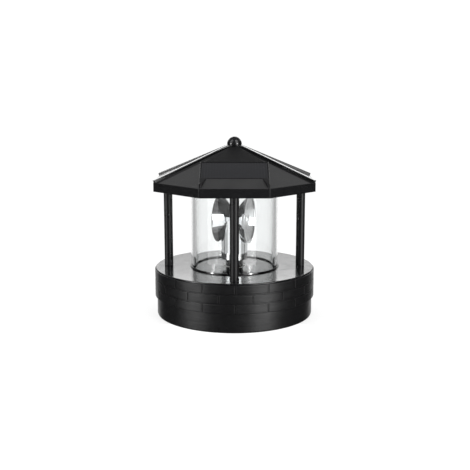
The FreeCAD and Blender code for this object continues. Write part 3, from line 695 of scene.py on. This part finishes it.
def make_deck():
    """The glossy lid with the bosses below it."""
    sizes = bpy.context.scene.lantern_base
    under = top_of("deck_plate") - sizes.lid_thickness
    deck = spun("deck_lid", lid_outline(sizes))
    round_edges(deck, 0.12 * MM, segments=2)
    pieces = [deck]
    radius, reach = SCREW_BOSS
    for quarter in range(4):
        angle = math.radians(45 + 90 * quarter)
        place = (reach * math.cos(angle), reach * math.sin(angle), 0)
        pieces.append(pillar(place, radius, foot_of("deck_plate"), under))
    low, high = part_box("drive_plate")
    radius, inset = PLATE_BOSS
    for x in (low[0] + inset, high[0] - inset):
        for y in (low[1] + inset, high[1] - inset):
            pieces.append(pillar((x, y, 0), radius, high[2], under))
    deck = smooth(joined("deck_lid", pieces))
    finish_piece(deck, "deck", "root", ["deck_plate"])


# ---- posts and cylinder

POST_EDGE = 0.25 * MM
POST_SOCKET = 2.0 * MM      # how far a post stands in the ceiling


def make_posts():
    """Four round posts, with a soft edge where they meet the deck and the roof."""
    radius = bpy.context.scene.lantern_base.post_radius
    low, high = top_of("deck_plate"), foot_of("roof_ceiling") + POST_SOCKET
    outline = [
        (0, low),
        (radius - POST_EDGE, low),
        (radius, low + POST_EDGE),
        (radius, high - POST_EDGE),
        (radius - POST_EDGE, high),
        (0, high),
    ]
    model = spun("round_post", outline, steps=48, closed=False)
    for side in ("left", "front", "right", "rear"):
        node = "post_" + side
        centre = middle_of(node)
        post = copy_of(model, "round_post_" + side, (centre.x, centre.y, 0))
        smooth(post, angle=50.0)
        finish_piece(post, "post", "root", [node])
    discard(model)


def make_cylinder():
    """The clear cylinder."""
    outer = half_width("clear_cylinder")
    inner = outer - bpy.context.scene.lantern_base.tube_wall
    low, high = foot_of("clear_cylinder"), top_of("clear_cylinder")
    outline = [(inner, low), (outer, low), (outer, high), (inner, high)]
    tube = spun("clear_tube", outline, steps=192)
    round_edges(tube, 0.2 * MM, segments=2)
    smooth(tube)
    finish_piece(tube, "clear", "root", ["clear_cylinder"])


# ---- beacon

LAMP_TO_AXIS = 2.5 * MM     # from the lamp's tip down to the horns' axis
BEACON_BORE = 3.4 * MM      # the hollow for the fixed lamp post
SPINDLE_RADIUS = 5.0 * MM
HUB_LIFT = 0.3 * MM         # how far the hub clears the lid
LENS_DEPTH = 1.8 * MM       # how far a lens's back lies inside the mouth
LENS_THICKNESS = 0.8 * MM
LENS_GAP = 0.2 * MM         # between a lens and the wall of its horn
PRISM_HEIGHT = 0.05 * MM
PRISM_BACK = 0.15           # from a prism's outer edge to its crest, as a share of its width
CUT_CLEARANCE = 0.05 * MM


def bowed(start, middle, end, count):
    """Points on the arc through three (radius, height) points, from the centre (ux, uy) of
    their circle."""
    ax, ay, bx, by, cx, cy = *start, *middle, *end
    a, b, c = ax**2 + ay**2, bx**2 + by**2, cx**2 + cy**2
    d = 2 * (ax * (by - cy) + bx * (cy - ay) + cx * (ay - by))
    ux = (a * (by - cy) + b * (cy - ay) + c * (ay - by)) / d
    uy = (a * (cx - bx) + b * (ax - cx) + c * (bx - ax)) / d
    radius = math.hypot(ax - ux, ay - uy)
    first, last = math.atan2(ay - uy, ax - ux), math.atan2(cy - uy, cx - ux)
    sweep = (last - first + math.pi) % math.tau - math.pi
    angles = [first + sweep * index / count for index in range(count + 1)]
    return [(ux + radius * math.cos(angle), uy + radius * math.sin(angle)) for angle in angles]


def horn_curve(sizes, offset, count=14):
    """A horn's wall from waist to rim as (radius, distance along its axis)."""
    rim, waist = sizes.rim_radius - offset, sizes.waist_radius - offset
    middle = ((rim + waist) / 2 + sizes.bulge, sizes.half_length / 2)
    return bowed((waist, 0), middle, (rim, sizes.half_length), count)


def both_ways(curve):
    """A curve from the far rim through the waist to the near rim."""
    return [(radius, -along) for radius, along in reversed(curve)] + curve[1:]


def beacon_level():
    """Height of the horns' axis."""
    return top_of("lamp") - LAMP_TO_AXIS


def lay_across(item, sizes):
    """Turn a piece from the Z axis onto the horns' axis and lift it to its level."""
    return placed(item, (0, math.pi / 2, sizes.turn), (0, 0, beacon_level()))


def make_reflector():
    """The bright double horn on its neck."""
    sizes = bpy.context.scene.lantern_beacon
    outer, inner = horn_curve(sizes, 0), horn_curve(sizes, sizes.wall)
    horns = spun("bright_beacon", both_ways(outer) + list(reversed(both_ways(inner))), steps=96)
    round_edges(horns, 0.25 * MM, angle=50.0)
    lay_across(horns, sizes)
    low, high, radius = top_of("spindle_hub"), beacon_level(), sizes.neck_radius
    neck_outline = [(BEACON_BORE, low), (radius, low), (radius, high), (BEACON_BORE, high)]
    neck = spun("neck", neck_outline, steps=96)
    mouth = sizes.half_length
    filled = [(0, -mouth)] + both_ways(horn_curve(sizes, CUT_CLEARANCE)) + [(0, mouth)]
    carved(neck, lay_across(spun("cutter", filled, steps=96), sizes))
    hole_outline = [(0, low), (BEACON_BORE, low), (BEACON_BORE, high), (0, high)]
    carved(horns, spun("hole", hole_outline, steps=48))
    beacon = smooth(joined("bright_beacon", [horns, neck]), angle=40.0)
    halves = ["reflector_front_half", "reflector_rear_half"]
    finish_piece(beacon, "plating", "beacon", halves)


def make_lenses():
    """A clear lens with rings of fine prisms just inside each horn's mouth."""
    sizes = bpy.context.scene.lantern_beacon
    back = sizes.half_length - LENS_DEPTH
    face = back + LENS_THICKNESS
    radius = horn_curve(sizes, sizes.wall)[-2][0] - LENS_GAP
    step = radius / sizes.lens_rings
    outline = [(0, back), (radius, back), (radius, face)]
    for index in range(sizes.lens_rings, 0, -1):
        outline.append((step * (index - PRISM_BACK), face + PRISM_HEIGHT))
        outline.append((step * (index - 1), face))
    model = spun("ribbed_lens", outline, steps=96, closed=False)
    for side, turn in (("right", 0.0), ("left", math.pi)):
        lens = copy_of(model, "ribbed_lens_" + side)
        placed(lens, (0, math.pi / 2, 0))
        placed(lens, (0, 0, sizes.turn + turn), (0, 0, beacon_level()))
        smooth(lens, angle=15.0)
        node = "reflector_lens_" + side
        finish_piece(lens, "lens", "beacon", [node])
    discard(model)


def make_hub():
    """The hollow spindle and its black hub."""
    low, high = foot_of("spindle_hub"), top_of("spindle_hub")
    shoulder = top_of("deck_plate") + HUB_LIFT
    hub_radius = half_width("spindle_hub")
    outline = [
        (BEACON_BORE, low),
        (SPINDLE_RADIUS, low),
        (SPINDLE_RADIUS, shoulder),
        (hub_radius, shoulder),
        (hub_radius, high),
        (BEACON_BORE, high),
    ]
    item = spun("turned_hub", outline, steps=64)
    round_edges(item, 0.25 * MM)
    smooth(item)
    finish_piece(item, "deck", "beacon", ["spindle_hub"])


# ---- roof

RIBBED_HIPS = (3, 4, 7)     # hips that get a copy of the first rib
RIB_START = 4.0 * MM        # from the peak to a rib's upper end
RIB_END = 0.6 * MM          # from a rib's lower end to the eave's corner
TRAY_DEPTH = 7.0 * MM       # how far a tray's block goes into the roof
TRAY_FOOT = 6.0 * MM        # how far it goes below the top of the eave band
POCKET_DEPTH = 1.5 * MM
RAMP_THICKNESS = 2.0 * MM
RAMP_STEP = 0.3 * MM        # from a tray's face down to the ramp's upper end
FAIRING_DEPTH = 6.5 * MM
LAMINATE_THICKNESS = 1.2 * MM
LAMINATE_DROP = 0.9 * MM    # from the frame's face to the middle of the laminate
LAMINATE_GAP = 0.2 * MM
PAINTED_FACE_AREA = 10 * MM**2    # faces larger than this may take painted shade or painted light
FRONT_OR_REAR = 0.05        # the most that such a face's normal leans sideways
SHADED_FAIRING_RISE = (0.94, 0.99)     # upward part of a fairing's normal, where painted shade goes
LIT_NOTCH_RISE = (0.65, 0.80)       # upward part of a notch floor's normal, where painted light goes


def roof_slope(sizes):
    """The slope of a roof face."""
    return math.atan2(sizes.rise, sizes.apothem)


def push_up(distance):
    """Extrude what is selected along the Z axis."""
    bpy.ops.mesh.extrude_region_move(TRANSFORM_OT_translate={"value": (0, 0, distance)})


def roof_body(sizes, low, seat):
    """Eave band and roof faces up to the ball's seat, hollow below."""
    corner = 1 / math.cos(math.pi / sizes.sides)
    eave_top = low + sizes.eave_height
    clear_selection()
    bpy.ops.mesh.primitive_cylinder_add(
        vertices=sizes.sides, radius=sizes.apothem * corner, depth=sizes.eave_height,
        location=(0, 0, low + sizes.eave_height / 2), rotation=(0, 0, math.pi / sizes.sides))
    roof = settle(named("roof_cap"))
    bpy.ops.object.mode_set(mode="EDIT")
    select_faces(roof, lambda normal: normal.z > 0.9)
    push_up(seat - eave_top)
    shrink = (eave_top + sizes.rise - seat) / sizes.rise
    bpy.ops.transform.resize(value=(shrink, shrink, 1))
    select_faces(roof, lambda normal: normal.z < -0.9)
    bpy.ops.mesh.inset(thickness=sizes.wall)
    push_up(sizes.eave_height - sizes.wall)
    push_up(seat - eave_top)
    bpy.ops.transform.resize(value=(shrink, shrink, 1))
    bpy.ops.object.mode_set(mode="OBJECT")
    return round_edges(roof, 0.25 * MM, angle=15.0)


def hip_rib(sizes, apex):
    """One raised rib along a hip, from under the ball to its eave corner."""
    corner = sizes.apothem / math.cos(math.pi / sizes.sides)
    slope = math.atan2(sizes.rise, corner)
    end = math.hypot(sizes.rise, corner) - RIB_END
    size = (end - RIB_START, sizes.rib_width, 2 * sizes.rib_height)
    rib = block("rib", size, ((end + RIB_START) / 2, 0, 0))
    round_edges(rib, 0.5 * MM)
    placed(rib, (0, slope, 0), (0, 0, apex))
    return placed(rib, (0, 0, math.pi / sizes.sides))


def on_slope(item, sizes, eave_top, side):
    """Lay a piece made flat at the origin on the front or rear roof face."""
    slope = roof_slope(sizes)
    middle = (sizes.tray_near + sizes.tray_far) / 2
    level = eave_top + (sizes.apothem - middle) * math.tan(slope)
    placed(item, (slope, 0, 0), (0, -middle, level))
    return placed(item, (0, 0, side))


def tray_half_length(sizes):
    """Half the tray's length up the slope."""
    return (sizes.tray_near - sizes.tray_far) / 2 / math.cos(roof_slope(sizes))


def eave_on_slope(sizes):
    """Where the eave lies down the slope from the tray's middle."""
    middle = (sizes.tray_near + sizes.tray_far) / 2
    return -(sizes.apothem - middle) / math.cos(roof_slope(sizes))


def flat_prism(name, outline, low, high):
    """An upright prism on an outline of (x, y) points."""
    item = outline_piece(name, outline)
    bpy.ops.mesh.edge_face_add()
    bpy.ops.mesh.extrude_region_move(TRANSFORM_OT_translate={"value": (0, low - high, 0)})
    select_everything()
    bpy.ops.mesh.normals_make_consistent(inside=False)
    bpy.ops.object.mode_set(mode="OBJECT")
    return placed(item, (-math.pi / 2, 0, 0), (0, 0, low))


def tray_block(sizes):
    """A tray lying flat: its frame, its pocket and the cheeks beside its notch."""
    half_x, half_y = sizes.tray_width / 2, tray_half_length(sizes)
    eave_y = eave_on_slope(sizes)
    tip = half_x - sizes.cheek_tip
    right = [(half_x, half_y), (half_x, 2 * eave_y), (tip, 2 * eave_y), (tip, eave_y),
             (sizes.notch_half_width, -half_y)]
    outline = right + [(-x, y) for x, y in reversed(right)]
    tray = flat_prism("tray", outline, -TRAY_DEPTH, sizes.tray_raise)
    frame_x, frame_y = half_x - sizes.tray_frame, half_y - sizes.tray_frame
    pocket_size = (2 * frame_x, 2 * frame_y, 2 * POCKET_DEPTH)
    return carved(tray, block("pocket", pocket_size, (0, 0, sizes.tray_raise)))


def notch_ramp(sizes):
    """The sloping floor of a notch, lying flat."""
    half_y = tray_half_length(sizes)
    run = -half_y - eave_on_slope(sizes)
    drop = sizes.tray_raise - RAMP_STEP
    width = sizes.tray_width - 2 * sizes.cheek_tip
    ramp_size = (width, math.hypot(run, drop), RAMP_THICKNESS)
    ramp = block("ramp", ramp_size, (0, 0, -RAMP_THICKNESS / 2))
    return placed(ramp, (math.atan2(drop, run), 0, 0), (0, -half_y - run / 2, drop / 2))


def panel_tray(sizes, eave_top, side):
    """The raised tray round a panel, run down to the eave and notched below the panel."""
    tray = on_slope(tray_block(sizes), sizes, eave_top, 0.0)
    ramp = on_slope(notch_ramp(sizes), sizes, eave_top, 0.0)
    pick(tray)
    bpy.ops.object.mode_set(mode="EDIT")
    eave_plane = ((0, -sizes.apothem, 0), (0, -1, 0))
    foot_plane = ((0, 0, eave_top - TRAY_FOOT), (0, 0, -1))
    for place, normal in (eave_plane, foot_plane):
        select_everything()
        bpy.ops.mesh.bisect(plane_co=place, plane_no=normal, use_fill=True, clear_outer=True)
    bpy.ops.object.mode_set(mode="OBJECT")
    round_edges(tray, 0.28 * MM)
    return placed(joined("tray", [tray, ramp]), (0, 0, side))


def fairing(sizes, eave_top, apex, side):
    """The fairing from a tray's upper edge up to the peak."""
    slope = roof_slope(sizes)
    middle = (sizes.tray_near + sizes.tray_far) / 2
    half_y = tray_half_length(sizes)
    edge_y = -middle + half_y * math.cos(slope) - sizes.tray_raise * math.sin(slope)
    level = eave_top + (sizes.apothem - middle) * math.tan(slope)
    edge_z = level + half_y * math.sin(slope) + sizes.tray_raise * math.cos(slope)
    length = math.hypot(edge_y, apex - edge_z)
    half = sizes.fairing_half_width
    item = flat_prism("fairing", [(-half, 0), (half, 0), (0, length)], -FAIRING_DEPTH, 0)
    placed(item, (math.atan2(apex - edge_z, -edge_y), 0, 0), (0, edge_y, edge_z))
    return placed(item, (0, 0, side))


def paint_fairing_shade_and_notch_light(cap):
    """Paint shade on the shallow fairings, with a dull, darker copy of the roof's black, and light
    on the steep notch floors, with a lighter black.
    """
    cap.data.materials.append(material_for("fairing"))
    cap.data.materials.append(material_for("notch"))
    for face in cap.data.polygons:
        if abs(face.normal.x) < FRONT_OR_REAR and face.area > PAINTED_FACE_AREA:
            if SHADED_FAIRING_RISE[0] < face.normal.z < SHADED_FAIRING_RISE[1]:
                face.material_index = 1
            elif LIT_NOTCH_RISE[0] < face.normal.z < LIT_NOTCH_RISE[1]:
                face.material_index = 2


def make_roof():
    """The roof with its hip ribs, the two panel trays and the fairings above them."""
    sizes = bpy.context.scene.lantern_roof
    low = foot_of("roof_shell")
    eave_top = low + sizes.eave_height
    apex = eave_top + sizes.rise
    roof = roof_body(sizes, low, foot_of("finial_ball"))
    rib = hip_rib(sizes, apex)
    pieces = [roof, rib]
    for index in RIBBED_HIPS:
        pieces.append(copy_of(rib, "rib", turn=index * math.tau / sizes.sides))
    for side in (0.0, math.pi):
        pieces.append(panel_tray(sizes, eave_top, side))
        pieces.append(fairing(sizes, eave_top, apex, side))
    cap = smooth(joined("roof_cap", pieces), angle=25.0)
    finish_piece(cap, "roof", "root", ["roof_shell"])
    paint_fairing_shade_and_notch_light(cap)


def make_panels():
    """A dark laminate in each tray."""
    sizes = bpy.context.scene.lantern_roof
    eave_top = foot_of("roof_shell") + sizes.eave_height
    margin = sizes.tray_frame + LAMINATE_GAP
    width, length = sizes.tray_width - 2 * margin, 2 * (tray_half_length(sizes) - margin)
    for name, side in (("front", 0.0), ("rear", math.pi)):
        place = (0, 0, sizes.tray_raise - LAMINATE_DROP)
        slab = block("laminate_" + name, (width, length, LAMINATE_THICKNESS), place)
        round_edges(slab, 0.15 * MM, segments=2)
        on_slope(slab, sizes, eave_top, side)
        smooth(slab)
        node = "solar_panel_" + name
        finish_piece(slab, "panel", "root", [node])


BALL_RADIUS = 5.5 * MM
BALL_STEPS = 28


def make_finial():
    """The ball on the peak, cut flat at its seat."""
    top, foot = top_of("finial_ball"), foot_of("finial_ball")
    centre = top - BALL_RADIUS
    start = math.asin((foot - centre) / BALL_RADIUS)
    outline = [(0, foot)]
    for index in range(BALL_STEPS + 1):
        angle = start + (math.pi / 2 - start) * index / BALL_STEPS
        radius, height = BALL_RADIUS * math.cos(angle), BALL_RADIUS * math.sin(angle)
        outline.append((radius, centre + height))
    ball = smooth(spun("ball_finial", outline, steps=64, closed=False), angle=40.0)
    finish_piece(ball, "roof", "root", ["finial_ball"])


# ---- carried-over nodes

def finish_nodes():
    """The finishes of the pieces whose shape is kept."""
    for key, names in NODE_FINISHES.items():
        for name in names:
            mesh = NODES[name].data
            mesh.materials.clear()
            mesh.materials.append(material_for(key))


# ---- stage

CAMERA_PLACE = (0.0004, -0.6117, 0.1753)
CAMERA_PITCH = 10.75        # degrees below level
FOCAL_LENGTH = 63.27        # mm, on a sensor 36 mm wide
SENSOR_WIDTH = 36.0
LAMP_TARGET = (0, 0, 0.06)
# a lamp's name, place, target, width and height, and watts
SIDE_LAMPS = (
    ("left_softbox", (-0.89, -0.56, 0.45), LAMP_TARGET, (0.72, 2.2), 9.5),
    ("right_softbox", (0.70, -0.78, 0.45), LAMP_TARGET, (0.75, 2.2), 14.0),
    ("left_core", (-0.86, -0.54, 0.20), LAMP_TARGET, (0.12, 0.12), 1.8),
    ("right_core", (0.67, -0.75, 0.20), LAMP_TARGET, (0.12, 0.12), 1.8),
)
TOP_LAMP = ("top_softbox", (0, 0.1, 1.1), LAMP_TARGET, (1.0, 1.0), 14.0)
REAR_LAMP = ("rear_softbox", (0, 1.1, 0.44), (0, 0, 0.11), (1.6, 0.22), 2.4)
FLOOR_GLOW = 1.04           # the background's strength, just past white
# where the surround's parts begin and end, as parts of a unit direction
BEHIND = (0.84, 0.92)       # straight behind the object, along Y
BEFORE = (-0.62, -0.45)     # towards the eye, along Y
REAR_HALF = (0.72, 0.96)
NOT_BEFORE = (-0.1, 0.4)
LOW = (0.34, 0.54)          # along Z, as those below
BAND_FOOT = (0.25, 0.45)
BAND_TOP = (0.62, 0.82)
SEEN_THROUGH = (0.35, 0.60)
FLOOR_WHITENS = (0.15, 0.6)     # metres from the object


def area_lamp(name, place, target, size, power):
    """A soft rectangular lamp aimed at a point."""
    data = bpy.data.lights.new(name, "AREA")
    data.shape = "RECTANGLE"
    data.size, data.size_y = size
    data.energy = power
    lamp = bpy.data.objects.new(name, data)
    bpy.context.scene.collection.objects.link(lamp)
    lamp.location = place
    lamp.rotation_euler = (Vector(target) - Vector(place)).to_track_quat("-Z", "Y").to_euler()
    return lamp


def combined(tree, kind, first, second):
    """Two levels joined by a maths node, the second a level or a plain number."""
    node = tree.nodes.new("ShaderNodeMath")
    node.operation = kind
    tree.links.new(first, node.inputs[0])
    if isinstance(second, float):
        node.inputs[1].default_value = second
    else:
        tree.links.new(second, node.inputs[1])
    return node.outputs[0]


def around_level(tree, depth):
    """How bright it is round about: white straight behind, a little more towards the eye, and
    half as bright elsewhere."""
    behind = remap(tree, depth, BEHIND, (0.5, 1.0))
    before = remap(tree, depth, BEFORE, (1.2, 0.5))
    return combined(tree, "MAXIMUM", behind, before)


def floor_material():
    """A pale floor that goes over to plain white far off, and is clear from below."""
    material, tree, shader = new_material("Pale floor")
    shader.inputs["Base Color"].default_value = (0.85, 0.85, 0.85, 1)
    shader.inputs["Roughness"].default_value = 0.6
    shader.inputs["Specular IOR Level"].default_value = 0.1
    glow = tree.nodes.new("ShaderNodeEmission")
    glow.inputs["Color"].default_value = (1, 1, 1, 1)
    path = tree.nodes.new("ShaderNodeLightPath")
    place = tree.nodes.new("ShaderNodeTexCoord")
    aim = tree.nodes.new("ShaderNodeVectorMath")
    aim.operation = "NORMALIZE"
    tree.links.new(place.outputs["Object"], aim.inputs[0])
    split = tree.nodes.new("ShaderNodeSeparateXYZ")
    tree.links.new(aim.outputs["Vector"], split.inputs["Vector"])
    around = around_level(tree, split.outputs["Y"])
    white = combined(tree, "MAXIMUM", around, path.outputs["Is Camera Ray"])
    tree.links.new(combined(tree, "MULTIPLY", white, FLOOR_GLOW), glow.inputs["Strength"])
    reach = tree.nodes.new("ShaderNodeVectorMath")
    reach.operation = "LENGTH"
    tree.links.new(place.outputs["Object"], reach.inputs[0])
    far = remap(tree, reach.outputs["Value"], FLOOR_WHITENS, (0.72, 1.0))
    level = combined(tree, "MULTIPLY", far, path.outputs["Is Camera Ray"])
    level = combined(tree, "MAXIMUM", level, path.outputs["Is Transmission Ray"])
    mix = tree.nodes.new("ShaderNodeMixShader")
    tree.links.new(level, mix.inputs["Fac"])
    tree.links.new(shader.outputs["BSDF"], mix.inputs[1])
    tree.links.new(glow.outputs["Emission"], mix.inputs[2])
    side = tree.nodes.new("ShaderNodeNewGeometry")
    clear = tree.nodes.new("ShaderNodeBsdfTransparent")
    one_way = tree.nodes.new("ShaderNodeMixShader")
    tree.links.new(side.outputs["Backfacing"], one_way.inputs["Fac"])
    tree.links.new(mix.outputs["Shader"], one_way.inputs[1])
    tree.links.new(clear.outputs["BSDF"], one_way.inputs[2])
    output = tree.nodes["Material Output"]
    tree.links.new(one_way.outputs["Shader"], output.inputs["Surface"])
    material.cycles.emission_sampling = "NONE"
    return material


def make_floor():
    """The floor, which keeps the object's shadow and stays out of its reflections."""
    clear_selection()
    bpy.ops.mesh.primitive_circle_add(
        vertices=64, radius=4.0, fill_type="NGON", location=(0, 0, 0))
    floor = settle(named("floor"))
    floor.data.materials.append(floor_material())
    floor.visible_glossy = False
    floor.visible_shadow = False


def make_world():
    """A surround that is white low down behind the object, with a grey band above that, dark in
    front, and white where the eye meets it, straight on or through clear plastic."""
    world = bpy.data.worlds.new("Studio")
    bpy.context.scene.world = world
    world.use_nodes = True
    tree = world.node_tree
    tree.nodes.clear()
    output = tree.nodes.new("ShaderNodeOutputWorld")
    path = tree.nodes.new("ShaderNodeLightPath")
    place = tree.nodes.new("ShaderNodeTexCoord")
    split = tree.nodes.new("ShaderNodeSeparateXYZ")
    tree.links.new(place.outputs["Generated"], split.inputs["Vector"])
    depth, height = split.outputs["Y"], split.outputs["Z"]
    low = remap(tree, height, LOW, (1.0, 0.30))
    behind = remap(tree, depth, REAR_HALF, (0.03, 1.2))
    surround = combined(tree, "MULTIPLY", low, behind)
    rise = remap(tree, height, BAND_FOOT, (0.03, 0.36))
    fall = remap(tree, height, BAND_TOP, (1.0, 0.5))
    band = combined(tree, "MULTIPLY", rise, fall)
    band = combined(tree, "MULTIPLY", band, remap(tree, depth, NOT_BEFORE, (0.15, 1.0)))
    surround = combined(tree, "MAXIMUM", surround, band)
    clear = remap(tree, height, SEEN_THROUGH, (1.0, 0.0))
    clear = combined(tree, "MULTIPLY", clear, around_level(tree, depth))
    through = combined(tree, "MULTIPLY", clear, path.outputs["Is Transmission Ray"])
    surround = combined(tree, "MAXIMUM", surround, through)
    surround = combined(tree, "MAXIMUM", surround, path.outputs["Is Camera Ray"])
    background = tree.nodes.new("ShaderNodeBackground")
    background.inputs["Color"].default_value = (1, 1, 1, 1)
    tree.links.new(surround, background.inputs["Strength"])
    tree.links.new(background.outputs["Background"], output.inputs["Surface"])


def make_camera():
    """The camera at the reference view."""
    data = bpy.data.cameras.new("view")
    data.sensor_width = SENSOR_WIDTH
    data.lens = FOCAL_LENGTH
    data.clip_start = 0.01
    camera = bpy.data.objects.new("view", data)
    bpy.context.scene.collection.objects.link(camera)
    camera.location = CAMERA_PLACE
    camera.rotation_euler = (math.radians(90 - CAMERA_PITCH), 0, 0)
    bpy.context.scene.camera = camera


def make_stage():
    """Floor, surround, lamps and camera."""
    make_floor()
    make_world()
    for lamp in SIDE_LAMPS:
        area_lamp(*lamp)
    top = area_lamp(*TOP_LAMP)
    top.visible_glossy = False
    rear = area_lamp(*REAR_LAMP)
    rear.visible_camera = False
    rear.visible_transmission = False
    make_camera()
    bpy.context.scene.view_settings.view_transform = "Standard"


# ---- operators and panel

class LANTERN_OT_base_wall(bpy.types.Operator):
    """Model the brick band and skirt"""
    bl_idname = "lantern.base_wall"
    bl_label = "Brick base"
    bl_options = {"REGISTER", "UNDO"}

    def execute(self, context):
        make_base_wall()
        return {"FINISHED"}


class LANTERN_OT_deck(bpy.types.Operator):
    """Model the glossy lid of the base"""
    bl_idname = "lantern.deck"
    bl_label = "Deck"
    bl_options = {"REGISTER", "UNDO"}

    def execute(self, context):
        make_deck()
        return {"FINISHED"}


class LANTERN_OT_posts(bpy.types.Operator):
    """Model the four posts"""
    bl_idname = "lantern.posts"
    bl_label = "Posts"
    bl_options = {"REGISTER", "UNDO"}

    def execute(self, context):
        make_posts()
        return {"FINISHED"}


class LANTERN_OT_cylinder(bpy.types.Operator):
    """Model the clear cylinder"""
    bl_idname = "lantern.cylinder"
    bl_label = "Clear cylinder"
    bl_options = {"REGISTER", "UNDO"}

    def execute(self, context):
        make_cylinder()
        return {"FINISHED"}


class LANTERN_OT_reflector(bpy.types.Operator):
    """Model the bright double horn"""
    bl_idname = "lantern.reflector"
    bl_label = "Reflector"
    bl_options = {"REGISTER", "UNDO"}

    def execute(self, context):
        make_reflector()
        return {"FINISHED"}


class LANTERN_OT_lenses(bpy.types.Operator):
    """Model the two ribbed lenses"""
    bl_idname = "lantern.lenses"
    bl_label = "Lenses"
    bl_options = {"REGISTER", "UNDO"}

    def execute(self, context):
        make_lenses()
        return {"FINISHED"}


class LANTERN_OT_hub(bpy.types.Operator):
    """Model the hub and spindle"""
    bl_idname = "lantern.hub"
    bl_label = "Hub"
    bl_options = {"REGISTER", "UNDO"}

    def execute(self, context):
        make_hub()
        return {"FINISHED"}


class LANTERN_OT_roof(bpy.types.Operator):
    """Model the roof with its ribs and trays"""
    bl_idname = "lantern.roof"
    bl_label = "Roof"
    bl_options = {"REGISTER", "UNDO"}

    def execute(self, context):
        make_roof()
        return {"FINISHED"}


class LANTERN_OT_panels(bpy.types.Operator):
    """Model the solar laminates"""
    bl_idname = "lantern.panels"
    bl_label = "Solar panels"
    bl_options = {"REGISTER", "UNDO"}

    def execute(self, context):
        make_panels()
        return {"FINISHED"}


class LANTERN_OT_finial(bpy.types.Operator):
    """Model the ball on the peak"""
    bl_idname = "lantern.finial"
    bl_label = "Finial"
    bl_options = {"REGISTER", "UNDO"}

    def execute(self, context):
        make_finial()
        return {"FINISHED"}


class LANTERN_OT_kept(bpy.types.Operator):
    """Finish the pieces whose shape is kept"""
    bl_idname = "lantern.kept"
    bl_label = "Kept pieces"
    bl_options = {"REGISTER", "UNDO"}

    def execute(self, context):
        finish_nodes()
        return {"FINISHED"}


class LANTERN_OT_stage(bpy.types.Operator):
    """Set floor, surround, lamps and camera"""
    bl_idname = "lantern.stage"
    bl_label = "Stage"
    bl_options = {"REGISTER", "UNDO"}

    def execute(self, context):
        make_stage()
        return {"FINISHED"}


# in the order in which they run
OPERATORS = (
    LANTERN_OT_base_wall,
    LANTERN_OT_deck,
    LANTERN_OT_posts,
    LANTERN_OT_cylinder,
    LANTERN_OT_reflector,
    LANTERN_OT_lenses,
    LANTERN_OT_hub,
    LANTERN_OT_roof,
    LANTERN_OT_panels,
    LANTERN_OT_finial,
    LANTERN_OT_kept,
    LANTERN_OT_stage,
)


class LANTERN_PT_sidebar(bpy.types.Panel):
    """Sizes, colours and pieces of the lantern head."""
    bl_label = "Lantern head"
    bl_idname = "LANTERN_PT_sidebar"
    bl_space_type = "VIEW_3D"
    bl_region_type = "UI"
    bl_category = "Lantern"

    def draw(self, context):
        for name, group in SETTINGS.items():
            box = self.layout.box()
            box.label(text=group.__doc__)
            for prop in group.__annotations__:
                box.prop(getattr(context.scene, name), prop)
        for item in OPERATORS:
            self.layout.operator(item.bl_idname)


def register():
    """Register the settings, operators and panel."""
    for name, group in SETTINGS.items():
        bpy.utils.register_class(group)
        setattr(bpy.types.Scene, name, PointerProperty(type=group))
    for item in (*OPERATORS, LANTERN_PT_sidebar):
        bpy.utils.register_class(item)


def unregister():
    """Undo register."""
    for item in (LANTERN_PT_sidebar, *reversed(OPERATORS)):
        bpy.utils.unregister_class(item)
    for name, group in SETTINGS.items():
        delattr(bpy.types.Scene, name)
        bpy.utils.unregister_class(group)


def main():
    """Register, then make every piece in order and set the stage."""
    register()
    bpy.ops.lantern.base_wall()
    bpy.ops.lantern.deck()
    bpy.ops.lantern.posts()
    bpy.ops.lantern.cylinder()
    bpy.ops.lantern.reflector()
    bpy.ops.lantern.lenses()
    bpy.ops.lantern.hub()
    bpy.ops.lantern.roof()
    bpy.ops.lantern.panels()
    bpy.ops.lantern.finial()
    bpy.ops.lantern.kept()
    bpy.ops.lantern.stage()


if __name__ == "__main__":
    main()
